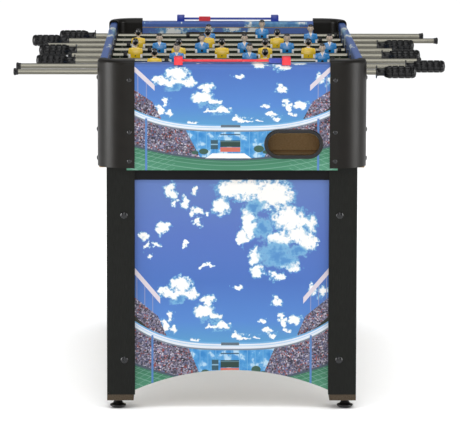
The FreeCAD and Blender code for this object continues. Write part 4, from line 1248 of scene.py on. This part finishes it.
@dataclass
class Fasteners:
    """Cover screws and leg bolts with domed heads and cross recesses, in millimetres."""

    screw_head: float = 4.85
    screw_dome: float = 2.4
    screw_shank: float = 2.0
    bolt_head: float = 8.0
    bolt_dome: float = 3.5
    bolt_shank: float = 4.0
    shank_length: float = 12.0
    slot_width: float = 0.24
    slot_length: float = 0.95
    slot_floor: float = 0.45

    def pattern(self, name: str, head: float, dome: float, shank: float) -> Piece:
        """One fastener pointing down, its seat at nought and its head above.

        Args:
            name: the pattern's name.
            head: the head's radius.
            dome: the head's height.
            shank: the shank's radius.

        Returns:
            The painted pattern.
        """
        levels = [Level(-self.shank_length, shank * 0.7, shank * 0.7),
                  Level(1 - self.shank_length, shank, shank),
                  Level(0, shank, shank), Level(0.01, head, head), Level(dome * 0.35, head, head),
                  Level(dome * 0.7, head * 0.86, head * 0.86), Level(dome * 0.92, head * 0.6, head * 0.6),
                  Level(dome, head * 0.3, head * 0.3)]
        piece = grow(name, levels, sides=24)
        long = head * self.slot_length / 2
        wide = head * self.slot_width / 2
        for half_x, half_y in ((long, wide), (wide, long)):
            cutter = box("recess", (-half_x, -half_y, dome * self.slot_floor), (half_x, half_y, dome + 1))
            cut_away(piece, cutter)
        return paint(piece, BLACK_STEEL, angle=35.0)

    def build(self) -> None:
        """Place every screw and bolt where the CAD solids are."""
        screw = self.pattern("screw", self.screw_head, self.screw_dome, self.screw_shank)
        bolt = self.pattern("bolt", self.bolt_head, self.bolt_dome, self.bolt_shank)
        for node, pattern in (("cover_screws", screw), ("leg_bolts", bolt)):
            copies = []
            for number, (seat, outward) in enumerate(self.places(node)):
                turn = Vector((0, 0, 1)).rotation_difference(outward).to_matrix().to_4x4()
                copies.append(copy_to(pattern, f"{node}_{number}", Matrix.Translation(seat) @ turn))
            group = join(f"{node}_detailed", copies)
            fit_out(group, "table", node)
        bpy.data.objects.remove(screw)
        bpy.data.objects.remove(bolt)

    def places(self, node: str) -> list[tuple[Vector, Vector]]:
        """Seat and outward direction of each fastener of a CAD node.

        Args:
            node: the CAD node that holds the group.

        Returns:
            A pair of vectors for each solid, in metres.
        """
        islands = split_islands(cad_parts[node].data)
        head = self.screw_dome if node == "cover_screws" else self.bolt_dome
        found = []
        for low, high in islands:
            size = high - low
            middle = (low + high) / 2
            if size.x > size.y:
                inside = node == "leg_bolts"
                sign = math.copysign(1, middle.x) * (-1 if inside else 1)
                outward = Vector((sign, 0, 0))
                tip = (high.x if sign > 0 else low.x) - sign * head * MM
                seat = Vector((tip, middle.y, middle.z))
            else:
                sign = math.copysign(1, middle.y)
                outward = Vector((0, sign, 0))
                tip = (high.y if sign > 0 else low.y) - sign * head * MM
                seat = Vector((middle.x, tip, middle.z))
            found.append((seat, outward))
        return found


def split_islands(mesh: bpy.types.Mesh) -> list[tuple[Vector, Vector]]:
    """Lowest and highest corner of each separate solid of a mesh of loose triangles.

    Args:
        mesh: a CAD node's mesh.

    Returns:
        A pair of corners for each solid, in a steady order.
    """
    key = {}
    parent: list[int] = []

    def root(item: int) -> int:
        """Find the item that stands for a whole island.

        Args:
            item: any item of the island.

        Returns:
            The island's own item.
        """
        while parent[item] != item:
            parent[item] = parent[parent[item]]
            item = parent[item]
        return item

    spots = []
    for vertex in mesh.vertices:
        place = tuple(round(c, 6) for c in vertex.co)
        if place not in key:
            key[place] = len(parent)
            parent.append(len(parent))
        spots.append(key[place])
    for polygon in mesh.polygons:
        first = root(spots[polygon.vertices[0]])
        for corner in polygon.vertices[1:]:
            parent[root(spots[corner])] = first
    groups: dict[int, list[tuple]] = {}
    for place, number in key.items():
        groups.setdefault(root(number), []).append(place)
    corners = []
    for places in groups.values():
        low = Vector([min(p[axis] for p in places) for axis in range(3)])
        high = Vector([max(p[axis] for p in places) for axis in range(3)])
        corners.append((low, high))
    return sorted(corners, key=lambda pair: tuple(round(c, 4) for c in pair[0]))


@dataclass
class Feet:
    """Levelling feet turned with a domed sole, on threaded studs, in millimetres."""

    radius: float = 18.5
    flat: float = 11.0
    neck: float = 8.5
    neck_top: float = 19.0
    stud: float = 4.0
    thread: float = 0.5
    pitch: float = 1.5
    stud_top: float = 59.0

    def build(self) -> None:
        """Turn one foot and set it under each leg."""
        radii = [(0.0, self.flat), (1.0, self.radius - 4.2), (2.6, self.radius - 1.6), (4.6, self.radius),
                 (6.4, self.radius), (7.0, self.radius - 0.8), (8.2, self.radius - 4.2),
                 (10.4, self.neck + 3.2), (13.5, self.neck + 1.2), (17.0, self.neck),
                 (self.neck_top, self.neck), (self.neck_top + 0.01, self.stud)]
        height = self.neck_top + self.pitch / 2
        while height < self.stud_top:
            radii.append((height, self.stud - self.thread))
            radii.append((height + self.pitch / 2, self.stud))
            height += self.pitch
        radii.append((self.stud_top, self.stud - self.thread))
        pattern = grow("foot", [Level(z, r, r) for z, r in radii], sides=32)
        paint(round_off(pattern, 0.3, 1, 50.0), FOOT_PLASTIC, angle=30.0)
        copies = []
        for number, (low, high) in enumerate(split_islands(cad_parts["levelling_feet"].data)):
            middle = (low + high) / 2
            copies.append(copy_to(pattern, f"foot_{number}",
                                  Matrix.Translation((middle.x, middle.y, low.z))))
        fit_out(join("levelling_feet_detailed", copies), "feet", "levelling_feet")
        bpy.data.objects.remove(pattern)


@dataclass
class ScoreCounter:
    """Notched bar between two saddled posts, and the ribbed counter on it, in millimetres."""

    end: End
    post: float = 19.2
    post_inset: float = 2.2
    post_sink: float = 0.8
    post_round: float = 0.7
    seat: float = 793.0
    seat_overlap: float = 0.2
    lip: float = 1.6
    lip_round: float = 0.4
    bar_height: float = 5.0
    bar_depth: float = 10.0
    bar_low: float = 796.6
    bar_round: float = 0.35
    notches: int = 9
    notch: float = 2.0
    notch_depth: float = 1.0
    ribs: int = 7
    rib: float = 1.6
    rib_height: float = 0.4
    rib_inset: float = 0.35
    wall: float = 2.4
    sleeve_round: float = 0.2

    def build(self) -> None:
        """Model the rail and its counter at one end."""
        name = self.end.name.lower()
        near = self.end is End.FRONT
        rail = self.rail(name)
        paint(rail, RED_STYRENE if near else BLUE_STYRENE, angle=35.0)
        rail = copy_to(rail, f"{name}_score_rail_detailed", Matrix.Identity(4))
        bpy.data.objects.remove(bpy.data.objects[f"{name}_rail_pattern"])
        fit_out(rail, "table", f"{name}_score_rail")
        marker = self.marker(name)
        paint(marker, BLUE_STYRENE if near else RED_STYRENE, angle=35.0)
        marker = copy_to(marker, f"{name}_score_marker_detailed", Matrix.Identity(4))
        bpy.data.objects.remove(bpy.data.objects[f"{name}_marker_pattern"])
        fit_out(marker, f"{name}_counter", f"{name}_score_marker")

    def rail(self, name: str) -> Piece:
        """Posts, their caps and the notched bar as one moulding.

        Args:
            name: the end's name.

        Returns:
            The rail, in millimetres.
        """
        low, high = (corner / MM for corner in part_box(f"{name}_score_rail"))
        middle_y = self.end.value * (abs(low.y + high.y) / 2 - self.lip / 2)
        bar = box(f"{name}_rail_pattern", (low.x + self.post, middle_y - self.bar_depth / 2, self.bar_low),
                  (high.x - self.post, middle_y + self.bar_depth / 2, self.bar_low + self.bar_height))
        step = (high.x - low.x - 2 * self.post) / (self.notches + 1)
        notch_middles = [low.x + self.post + step * n for n in range(1, self.notches + 1)]
        focus(bar)
        bpy.ops.object.mode_set(mode="EDIT")
        for x in notch_middles:
            for edge in (-self.notch / 2, self.notch / 2):
                bpy.ops.mesh.select_all(action="SELECT")
                bpy.ops.mesh.bisect(plane_co=(x + edge, 0, 0), plane_no=(1, 0, 0))
        top = self.bar_low + self.bar_height

        def in_notch(face: Face) -> bool:
            """Whether a face is the top of a notch."""
            close = min(abs(face.center.x - x) for x in notch_middles)
            return close < self.notch / 4 and face.center.z > top - 0.1

        pick_faces(bar, in_notch)
        bpy.ops.mesh.extrude_region_move(TRANSFORM_OT_translate={"value": (0, 0, -self.notch_depth)})
        bpy.ops.object.mode_set(mode="OBJECT")
        round_off(bar, self.bar_round, 2, 50.0)
        parts = [bar]
        for x in (low.x, high.x - self.post):
            post = box("post", (x, low.y, self.seat - self.seat_overlap), (x + self.post, high.y, high.z))
            post = self.shape_post(post, high.z)
            parts.append(post)
            outer = low.y if self.end is End.FRONT else high.y
            inner = outer - self.end.value * self.lip
            lip = box("lip", (x, min(outer, inner), low.z), (x + self.post, max(outer, inner), self.seat))
            parts.append(round_off(lip, self.lip_round, 2))
        return join(f"{name}_rail_pattern", parts)

    def shape_post(self, post: Piece, top: float) -> Piece:
        """Inset and sink the post's top a little, and round its edges.

        Args:
            post: the post's block.
            top: the height of its top.

        Returns:
            The same post.
        """
        pick_faces(post, lambda face: face.center.z > top - 0.1)
        bpy.ops.mesh.inset(thickness=self.post_inset, depth=0)
        bpy.ops.mesh.extrude_region_move(TRANSFORM_OT_translate={"value": (0, 0, -self.post_sink)})
        bpy.ops.object.mode_set(mode="OBJECT")
        return round_off(post, self.post_round, 2)

    def marker(self, name: str) -> Piece:
        """Sleeve with finger ribs on its two long faces.

        Args:
            name: the end's name.

        Returns:
            The counter, in millimetres.
        """
        low, high = (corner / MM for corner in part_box(f"{name}_score_marker"))
        sleeve = box(f"{name}_marker_pattern", low, high)
        step = (high.x - low.x) / (self.ribs + 1)
        middles = [low.x + step * n for n in range(1, self.ribs + 1)]
        focus(sleeve)
        bpy.ops.object.mode_set(mode="EDIT")
        for x in middles:
            for edge in (-self.rib / 2, self.rib / 2):
                bpy.ops.mesh.select_all(action="SELECT")
                bpy.ops.mesh.bisect(plane_co=(x + edge, 0, 0), plane_no=(1, 0, 0))
        bpy.ops.mesh.select_all(action="DESELECT")

        def between(face: Face) -> bool:
            """Whether a face lies between two ribs on a long side or the top."""
            far = min(abs(face.center.x - x) for x in middles)
            return far > self.rib / 4 and abs(face.normal.x) < 0.5 and face.normal.z > -0.5

        pick_faces(sleeve, between)
        bpy.ops.mesh.inset(thickness=self.rib_inset, depth=-self.rib_height)
        bpy.ops.object.mode_set(mode="OBJECT")
        wall = self.wall
        core = box("core", (low.x - 1, low.y + wall, low.z + wall),
                   (high.x + 1, high.y - wall, high.z - wall))
        cut_away(sleeve, core)
        return round_off(sleeve, self.sleeve_round, 1, 50.0)


@dataclass
class Figure:
    """One painted player about the rod's axis, facing +Y, in millimetres."""

    team: Team
    sole: float = -65.06
    toe: float = 12.0
    heel: float = 6.5
    half_width: float = 17.0
    arm_half: float = 3.9
    leg_middle: float = 4.2
    shirt: Finish = field(init=False)

    def __post_init__(self) -> None:
        """Choose the team's shirt."""
        self.shirt = YELLOW_SHIRT if self.team is Team.YELLOW else BLUE_SHIRT

    def build(self) -> Piece:
        """Model the whole figure.

        Returns:
            The figure as a pattern to copy.
        """
        parts = self.trunk() + self.arms() + self.head() + self.lower_body() + self.pin()
        return join(f"player_pattern_{self.team.name.lower()}", parts)

    def trunk(self) -> list[Piece]:
        """Shirt with sloping shoulders, and the collar.

        Returns:
            The painted parts.
        """
        torso = grow("torso", [Level(-13.4, 10.9, 8.6), Level(-12.6, 11.4, 9.4), Level(-4, 11.6, 10.0),
                               Level(4, 11.9, 10.0), Level(12, 13.2, 9.2), Level(16.5, 12.8, 7.4),
                               Level(18.6, 9.0, 5.4), Level(19.8, 5.2, 4.4)], sides=4)
        round_off(torso, 2.6, 3, 24.0)
        hem = grow("hem", [Level(-13.6, 11.2, 9.2), Level(-11.8, 11.9, 10.0)], sides=4)
        round_off(hem, 0.8, 2)
        collar = grow("collar", [Level(15.5, 5.6, 5.2), Level(19.0, 5.4, 5.0), Level(20.8, 4.7, 4.4),
                                 Level(21.0, 3.9, 3.7)], sides=20)
        placket = self.vee("placket", 0.35, 10.2, 0.46)
        throat = self.vee("throat", 0.6, 13.4, 0.4)
        return [paint(torso, self.shirt), paint(hem, self.shirt), paint(collar, WHITE_PAINT),
                paint(placket, WHITE_PAINT), paint(throat, SKIN_PAINT)]

    def vee(self, name: str, proud: float, point: float, spread: float) -> Piece:
        """A V-shaped patch that follows the chest up to the neck.

        Args:
            name: the patch's name.
            proud: how far it stands out from the shirt.
            point: the height of its point.
            spread: half its width for each unit of height above the point.

        Returns:
            The patch.
        """
        levels = [Level(7, 12.7, 9.9), Level(12, 13.2, 9.2), Level(16.5, 12.8, 7.4), Level(18.6, 9.0, 5.4),
                  Level(20.2, 5.2, 4.4)]
        patch = grow(name, [Level(lv.height, lv.half_width, lv.half_depth + proud) for lv in levels],
                     sides=4)
        focus(patch)
        bpy.ops.object.mode_set(mode="EDIT")
        for place, away in (((0, 0, point), (1, 0, -spread)), ((0, 0, point), (-1, 0, -spread)),
                            ((0, 2, 0), (0, -1, 0))):
            bpy.ops.mesh.select_all(action="SELECT")
            bpy.ops.mesh.bisect(plane_co=place, plane_no=away, clear_outer=True, use_fill=True)
        bpy.ops.object.mode_set(mode="OBJECT")
        return round_off(patch, 0.2, 1, 50.0)

    def arms(self) -> list[Piece]:
        """Sleeves in the shirt's colour, and pale forearms with fists.

        Returns:
            The painted parts.
        """
        parts = []
        for side in (-1, 1):
            sleeve = grow("sleeve", [Level(3.2, 3.2, 7.0), Level(4.0, 3.8, 7.7), Level(9, 3.9, 7.6),
                                     Level(13, 3.8, 6.8), Level(16.6, 2.8, 5.0), Level(17.8, 1.4, 3.0)],
                          sides=4)
            round_off(sleeve, 1.5, 3, 24.0)
            forearm = grow("forearm", [Level(-13.9, 3.1, 6.4), Level(-12.8, 3.8, 7.8), Level(-8.0, 3.9, 8.6),
                                       Level(-3.0, 3.7, 8.2), Level(4.2, 3.6, 7.4)], sides=4)
            round_off(forearm, 1.1, 2, 24.0)
            for limb, finish in ((sleeve, self.shirt), (forearm, WHITE_PAINT)):
                limb.location.x = side * (self.half_width - self.arm_half)
                focus(limb)
                bpy.ops.object.transform_apply(location=True, rotation=True, scale=True)
                parts.append(paint(limb, finish))
        return parts

    def head(self) -> list[Piece]:
        """Neck, face, ears and short hair with a pointed nape.

        Returns:
            The painted parts.
        """
        neck = grow("neck", [Level(15, 4.0, 3.8), Level(19, 3.6, 3.5), Level(25, 3.9, 4.0)], sides=14)
        skull_levels = [(20.9, 2.6, 3.0, 0.9), (21.8, 4.1, 4.6, 0.7), (24.2, 5.7, 6.2, 0.35),
                        (28.0, 6.9, 7.2, 0.1), (32.0, 7.3, 7.6, 0.0), (36.0, 6.9, 7.3, -0.2),
                        (39.4, 5.1, 5.6, -0.3), (41.2, 2.6, 2.9, -0.3)]
        skull = grow("skull", [Level(z, w, d, y) for z, w, d, y in skull_levels], sides=14)
        smooth_form(skull)
        hair = grow("hair", [Level(z + 0.4, w + 0.55, d + 0.6, y - 0.25) for z, w, d, y in skull_levels],
                    sides=14)
        smooth_form(hair)
        focus(hair)
        bpy.ops.object.mode_set(mode="EDIT")
        for lean in (-0.6, 0.6):
            bpy.ops.mesh.select_all(action="SELECT")
            bpy.ops.mesh.bisect(plane_co=(0, 0.4, 31.4), plane_no=(lean, 1.0, -1.0), clear_outer=True,
                                use_fill=True)
        bpy.ops.object.mode_set(mode="OBJECT")
        fringe = grow("fringe", [Level(35.6, 4.6, 1.0, 6.6), Level(37.2, 5.8, 1.5, 5.9),
                                 Level(39.0, 5.4, 1.8, 4.6)], sides=10)
        smooth_form(fringe)
        nose = grow("nose", [Level(27.6, 1.2, 1.4, 7.4), Level(28.6, 1.3, 1.5, 7.6),
                             Level(31.6, 0.7, 0.8, 7.0)], sides=8)
        smooth_form(nose)
        parts = [paint(neck, SKIN_PAINT), paint(skull, SKIN_PAINT), paint(hair, BLACK_PAINT),
                 paint(fringe, BLACK_PAINT), paint(nose, SKIN_PAINT)]
        for side in (-1, 1):
            parts.append(paint(ball("ear", (side * 7.2, -0.6, 29.8), (0.9, 1.7, 2.4), 10), SKIN_PAINT))
            parts.append(paint(ball("eye", (side * 2.6, 6.8, 31.2), (0.62, 0.45, 0.45), 10), BLACK_PAINT))
            brow = grow("brow", [Level(33.0, 1.3, 0.3, 6.95), Level(33.4, 1.2, 0.3, 6.85)], sides=4)
            brow.location.x = side * 2.8
            focus(brow)
            bpy.ops.object.transform_apply(location=True, rotation=True, scale=True)
            parts.append(paint(round_off(brow, 0.15, 1), BLACK_PAINT))
        parts.append(paint(ball("mouth", (0, 6.5, 25.6), (1.5, 0.5, 0.35), 10), LIP_PAINT))
        return parts

    def lower_body(self) -> list[Piece]:
        """Shorts, knees, socks and the blunt boot block that strikes the ball.

        Returns:
            The painted parts.
        """
        ankle = self.sole + 9
        shorts = grow("shorts", [Level(-31, 10.6, 7.2), Level(-30, 11.0, 7.6), Level(-20, 10.8, 7.4),
                                 Level(-11, 10.6, 7.4)], sides=4)
        round_off(shorts, 1.6, 3, 24.0)
        parts = [paint(shorts, BLACK_PAINT)]
        for side in (-1, 1):
            thigh = grow("thigh", [Level(-42, 3.9, 4.8), Level(-36, 4.4, 5.2), Level(-29, 4.8, 5.8)],
                         sides=12)
            sock = grow("sock", [Level(ankle - 2, 3.4, 4.4), Level(ankle + 3, 3.6, 4.6),
                                 Level(ankle + 9, 4.3, 5.2, -0.5), Level(-41.6, 4.1, 5.0),
                                 Level(-40.6, 4.4, 5.3), Level(-40.2, 3.8, 4.6)], sides=12)
            for limb in (thigh, sock):
                limb.location.x = side * self.leg_middle
                focus(limb)
                bpy.ops.object.transform_apply(location=True, rotation=True, scale=True)
                parts.append(paint(limb, BLACK_PAINT))
        middle = (self.toe - self.heel) / 2
        boot = grow("boot", [Level(self.sole, 8.2, 8.6, middle), Level(self.sole + 0.8, 8.5, 9.2, middle),
                             Level(self.sole + 6, 8.4, 8.6, middle - 0.4),
                             Level(self.sole + 9, 8.0, 6.6, middle - 1.8),
                             Level(self.sole + 11, 7.4, 5.2, middle - 2.4)], sides=4)
        round_off(boot, 0.9, 2, 20.0)
        parts.append(paint(boot, BLACK_PAINT))
        return parts

    def pin(self) -> list[Piece]:
        """Round pin head on the chest side, and the pin's blind end on the back.

        Returns:
            The painted parts.
        """
        head = grow("pin", [Level(8.6, 2.0, 2.0), Level(9.9, 3.0, 3.0), Level(10.9, 3.0, 3.0),
                            Level(11.3, 2.5, 2.5), Level(11.4, 1.5, 1.5), Level(10.6, 1.3, 1.3)], sides=20)
        tail = grow("pin_end", [Level(-10.35, 1.1, 1.1), Level(-10.2, 1.5, 1.5), Level(-9, 1.5, 1.5)],
                    sides=14)
        parts = []
        for part in (head, tail):
            focus(part)
            part.rotation_euler = (-math.pi / 2, 0, 0)
            bpy.ops.object.transform_apply(location=True, rotation=True, scale=True)
            parts.append(paint(part, BLACK_STEEL))
        return parts


@dataclass
class Grip:
    """Rubber handle with five padded bulges, and the flared cap at the other end, in millimetres."""

    flange: float = 2.5
    flange_radius: float = 14.6
    neck: float = 20.0
    neck_radius: float = 9.5
    bulges: int = 5
    bulge: float = 14.4
    core: float = 12.9
    valley: float = 12.2
    pad: float = 1.6
    dome: float = 12.0
    row_gap: float = 0.9
    pads: int = 12
    sides_per_pad: int = 4
    cap_length: float = 11.0
    cap_radius: float = 8.4
    rod: float = 6.35

    @property
    def length(self) -> float:
        """Length of the whole handle."""
        return self.flange + self.neck + self.bulges * self.bulge

    def handle(self) -> Piece:
        """Grow the handle's core and raise its pads.

        Returns:
            The handle about its own axis, its flange at nought and its dome above.
        """
        start = self.flange + self.neck
        radii = [(0.0, self.flange_radius - 0.3), (0.4, self.flange_radius),
                 (self.flange - 0.4, self.flange_radius), (self.flange, self.flange_radius - 0.5),
                 (self.flange + 0.05, self.neck_radius + 0.3), (self.flange + 1.6, self.neck_radius - 0.3),
                 (self.flange + 9, self.neck_radius - 0.9), (start - 4, self.neck_radius - 0.6)]
        rows = []
        top = self.length
        for number in range(self.bulges):
            low = start + number * self.bulge
            high = low + self.bulge
            if number == 0:
                radii += [(low - 2.5, self.neck_radius), (low + 3.0, self.core * 0.88),
                          (low + 7.5, self.core)]
                rows.append((low - 2.5, high - self.row_gap))
            else:
                radii += [(low + 0.3, self.valley), (low + self.row_gap, self.core)]
                rows.append((low + self.row_gap, high - self.row_gap))
            if number < self.bulges - 1:
                radii += [(high - self.row_gap, self.core), (high - 0.3, self.valley)]
        dome = top - self.dome
        rows[-1] = (rows[-1][0], top - 2.2)
        for step in (0.0, 0.3, 0.55, 0.75, 0.9, 0.98):
            radii.append((dome + (self.dome - self.pad) * step, self.core * math.sqrt(1 - step ** 2)))
        sides = self.pads * self.sides_per_pad
        piece = grow("handle_pattern", [Level(z, r, r) for z, r in radii], sides=sides)

        def is_pad(face: Face) -> bool:
            """Tell whether a face belongs to a raised pad.

            Args:
                face: a face of the handle.

            Returns:
                True for a face between the grooves.
            """
            turn = math.atan2(face.center.y, face.center.x) / (2 * math.pi) % 1
            groove = int(turn * sides) % self.sides_per_pad == 0
            in_row = any(low < face.center.z < high for low, high in rows)
            return in_row and not groove and abs(face.normal.z) < 0.85 and len(face.vertices) == 4

        pick_faces(piece, is_pad)
        bpy.ops.mesh.extrude_region_move()
        bpy.ops.transform.shrink_fatten(value=self.pad)
        bpy.ops.object.mode_set(mode="OBJECT")
        round_off(piece, 0.45, 2, 38.0)
        return paint(piece, GRIP_RUBBER, angle=38.0)

    def cap(self) -> Piece:
        """Grow the end cap.

        Returns:
            The cap about its own axis, its mouth at nought and its closed end above.
        """
        r = self.cap_radius
        radii = [(0.3, self.rod + 0.2), (0.0, r - 1.2), (0.5, r - 0.7), (1.6, r - 1.3), (4.0, r - 1.0),
                 (6.6, r), (8.8, r), (9.8, r - 0.7), (10.6, r - 2.4), (10.9, r - 4.2),
                 (self.cap_length, r - 6.6)]
        piece = grow("cap_pattern", [Level(z, s, s) for z, s in radii], sides=32)
        return paint(piece, GRIP_RUBBER, angle=38.0)


@dataclass
class Bumper:
    """Rubber ring that stops a rod against the wall, in millimetres."""

    radius: float = 10.0
    length: float = 9.0
    bore: float = 6.45
    edge_round: float = 1.2

    def build(self) -> Piece:
        """Grow the ring about its own axis, from nought upwards.

        Returns:
            The ring as a pattern to copy.
        """
        r, edge, end = self.radius, self.edge_round, self.length
        stations = [(0.0, self.bore + 0.4), (0.0, r - edge), (0.35 * edge, r - 0.35 * edge), (edge, r),
                    (end * 0.4, r), (end * 0.45, r - 0.6), (end * 0.55, r - 0.6), (end * 0.6, r),
                    (end - edge, r), (end - 0.35 * edge, r - 0.35 * edge), (end, r - edge),
                    (end, self.bore + 0.4), (end - 0.4, self.bore), (0.4, self.bore)]
        return paint(grow_ring("bumper_pattern", stations), GRIP_RUBBER, angle=35.0)


@dataclass(frozen=True)
class Rod:
    """One rod: its number from the front, its team, its players and its turn at rest."""

    number: int
    team: Team
    players: int
    turn: float = 0.0


@dataclass
class RodSets:
    """All eight rods with their players, grips and bumpers."""

    rods: tuple[Rod, ...] = (
        Rod(1, Team.YELLOW, 1, 40.0), Rod(2, Team.YELLOW, 2), Rod(3, Team.BLUE, 3), Rod(4, Team.YELLOW, 5),
        Rod(5, Team.BLUE, 5), Rod(6, Team.YELLOW, 3), Rod(7, Team.BLUE, 2), Rod(8, Team.BLUE, 1),
    )
    grip: Grip = field(default_factory=Grip)
    bumper: Bumper = field(default_factory=Bumper)
    handle_turn: float = 8.0

    def build(self) -> None:
        """Model each pattern once and copy it along every rod."""
        figures = {team: Figure(team).build() for team in Team}
        handle = self.grip.handle()
        cap = self.grip.cap()
        ring = self.bumper.build()
        for rod in self.rods:
            dress(f"rod_{rod.number}", CHROME)
            low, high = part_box(f"rod_{rod.number}")
            axis = Vector((0, (low.y + high.y) / 2, (low.z + high.z) / 2))
            self.add_players(rod, axis, figures[rod.team])
            self.add_grip(rod, axis, handle, cap)
            self.add_bumpers(rod, axis, ring)
        for pattern in (*figures.values(), handle, cap, ring):
            bpy.data.objects.remove(pattern)

    def add_players(self, rod: Rod, axis: Vector, pattern: Piece) -> None:
        """Space the figures evenly inside their CAD node's length.

        Args:
            rod: the rod.
            axis: a point on the rod's axis.
            pattern: the team's figure.
        """
        node = f"players_{rod.number}"
        low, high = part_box(node)
        half = Figure.half_width * MM
        facing = Matrix.Rotation(0 if rod.team is Team.YELLOW else math.pi, 4, "Z")
        turn = Matrix.Rotation(math.radians(rod.turn), 4, "X")
        for n in range(rod.players):
            share = n / (rod.players - 1) if rod.players > 1 else 0.5
            x = (low.x + half) * (1 - share) + (high.x - half) * share
            place = Matrix.Translation((x, axis.y, axis.z)) @ turn @ facing
            player = copy_to(pattern, f"player_{rod.number}_{n + 1}", place)
            fit_out(player, f"rod_{rod.number}", node)

    def add_grip(self, rod: Rod, axis: Vector, handle: Piece, cap: Piece) -> None:
        """Put the handle on the team's side and the cap on the other.

        Args:
            rod: the rod.
            axis: a point on the rod's axis.
            handle: the handle's pattern.
            cap: the cap's pattern.
        """
        node = f"grip_{rod.number}"
        low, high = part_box(node)
        side = rod.team.value
        outward = Matrix.Rotation(side * math.pi / 2, 4, "Y")
        inward = Matrix.Rotation(-side * math.pi / 2, 4, "Y")
        far = high.x if side > 0 else low.x
        near = low.x if side > 0 else high.x
        flange = far - side * self.grip.length * MM
        mouth = near + side * self.grip.cap_length * MM
        turn = Matrix.Rotation(math.radians(rod.number * self.handle_turn + rod.turn), 4, "X")
        for name, pattern, x, tilt in (("handle", handle, flange, outward), ("end_cap", cap, mouth, inward)):
            place = Matrix.Translation((x, axis.y, axis.z)) @ turn @ tilt
            piece = copy_to(pattern, f"{name}_{rod.number}", place)
            fit_out(piece, f"rod_{rod.number}", node)

    def add_bumpers(self, rod: Rod, axis: Vector, ring: Piece) -> None:
        """Put a ring at each end of the bumpers' CAD node.

        Args:
            rod: the rod.
            axis: a point on the rod's axis.
            ring: the ring's pattern.
        """
        node = f"bumpers_{rod.number}"
        low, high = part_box(node)
        rings = []
        for x in (low.x, high.x - self.bumper.length * MM):
            place = Matrix.Translation((x, axis.y, axis.z)) @ Matrix.Rotation(math.pi / 2, 4, "Y")
            rings.append(copy_to(ring, f"bumper_{rod.number}", place))
        fit_out(join(f"bumpers_{rod.number}_detailed", rings), f"carriage_{rod.number}", node)


# ---------------------------------------------------------------- studio

@dataclass(frozen=True)
class Lamp:
    """A soft rectangular light: its place and size in metres, and its power in watts.

    One that does not shine is only mirrored in the glossy pieces.
    """

    name: str
    place: tuple[float, float, float]
    size: tuple[float, float]
    power: float
    shines: bool = True


@dataclass
class Studio:
    """Pale floor, soft lights and the camera."""

    lamps: tuple[Lamp, ...] = (
        Lamp("left_strip", (-3.0, -1.1, 1.1), (1.3, 2.6), 150.0, shines=False),
        Lamp("right_strip", (3.0, -1.1, 1.1), (1.3, 2.6), 110.0, shines=False),
        Lamp("front_wall", (0.0, -6.8, 3.4), (2.2, 5.4), 130.0),
        Lamp("top", (0.0, -1.0, 4.6), (2.4, 3.0), 65.0),
    )
    aim: tuple[float, float, float] = (0.0, 0.0, 0.5)
    camera_place: tuple[float, float, float] = (-0.0796, -8.4129, 1.5195)
    camera_pitch: float = 0.1357
    camera_yaw: float = 0.0096
    camera_roll: float = 0.0021
    lens: float = 272.88
    floor: float = 80.0
    sky_strength: float = 0.24
    overhead_power: float = 2.7
    overhead_spread: float = 130.0

    def build(self) -> None:
        """Set up floor, surround, lights and camera."""
        deselect()
        bpy.ops.mesh.primitive_plane_add(size=self.floor, location=(0, 20, -0.001))
        ground = bpy.context.object
        ground.name = "studio_floor"
        ground.data.materials.append(FLOOR_PAINT.material())
        self.surround()
        for lamp in self.lamps:
            self.light(lamp)
        self.overhead(ground)
        self.camera()

    def surround(self) -> None:
        """An even, dim surround."""
        world = bpy.data.worlds.new("studio")
        world.use_nodes = True
        back = world.node_tree.nodes["Background"]
        back.inputs["Color"].default_value = linear("#fbfcff")
        back.inputs["Strength"].default_value = self.sky_strength
        bpy.context.scene.world = world

    def light(self, lamp: Lamp) -> None:
        """Hang a soft light and aim it at the table's middle.

        Args:
            lamp: the light.
        """
        glow = bpy.data.lights.new(lamp.name, "AREA")
        glow.shape = "RECTANGLE"
        glow.size, glow.size_y = lamp.size
        glow.energy = lamp.power
        holder = bpy.data.objects.new(lamp.name, glow)
        bpy.context.scene.collection.objects.link(holder)
        holder.location = lamp.place
        aim = Vector(self.aim) - Vector(lamp.place)
        holder.rotation_euler = aim.to_track_quat("-Z", "Y").to_euler()
        holder.visible_camera = False
        holder.visible_diffuse = lamp.shines

    def overhead(self, ground: Piece) -> None:
        """Even light from above that falls on the floor alone, to whiten it to its far edge.

        Args:
            ground: the floor.
        """
        lamp = bpy.data.lights.new("overhead", "SUN")
        lamp.energy = self.overhead_power
        lamp.angle = math.radians(self.overhead_spread)
        holder = bpy.data.objects.new("overhead", lamp)
        bpy.context.scene.collection.objects.link(holder)
        holder.location = (0.0, -1.0, 6.0)
        lit = bpy.data.collections.new("lit_by_overhead")
        lit.objects.link(ground)
        holder.light_linking.receiver_collection = lit

    def camera(self) -> None:
        """The camera, level with a small roll, and an even tone curve."""
        lens = bpy.data.cameras.new("camera")
        lens.lens = self.lens
        lens.clip_end = 200.0
        holder = bpy.data.objects.new("camera", lens)
        bpy.context.scene.collection.objects.link(holder)
        turn = (Matrix.Rotation(-self.camera_yaw, 4, "Z")
                @ Matrix.Rotation(math.pi / 2 - self.camera_pitch, 4, "X")
                @ Matrix.Rotation(self.camera_roll, 4, "Z"))
        holder.matrix_world = Matrix.Translation(self.camera_place) @ turn
        bpy.context.scene.camera = holder
        bpy.context.scene.view_settings.view_transform = "Standard"


def main() -> None:
    """Build every sub-assembly, then the studio, and note the sizes."""
    logging.basicConfig(level=logging.INFO, format="%(name)s: %(message)s")
    Cabinet().build()
    Fasteners().build()
    Feet().build()
    for end in End:
        ScoreCounter(end).build()
    RodSets().build()
    Studio().build()


if __name__ == "__main__":
    main()
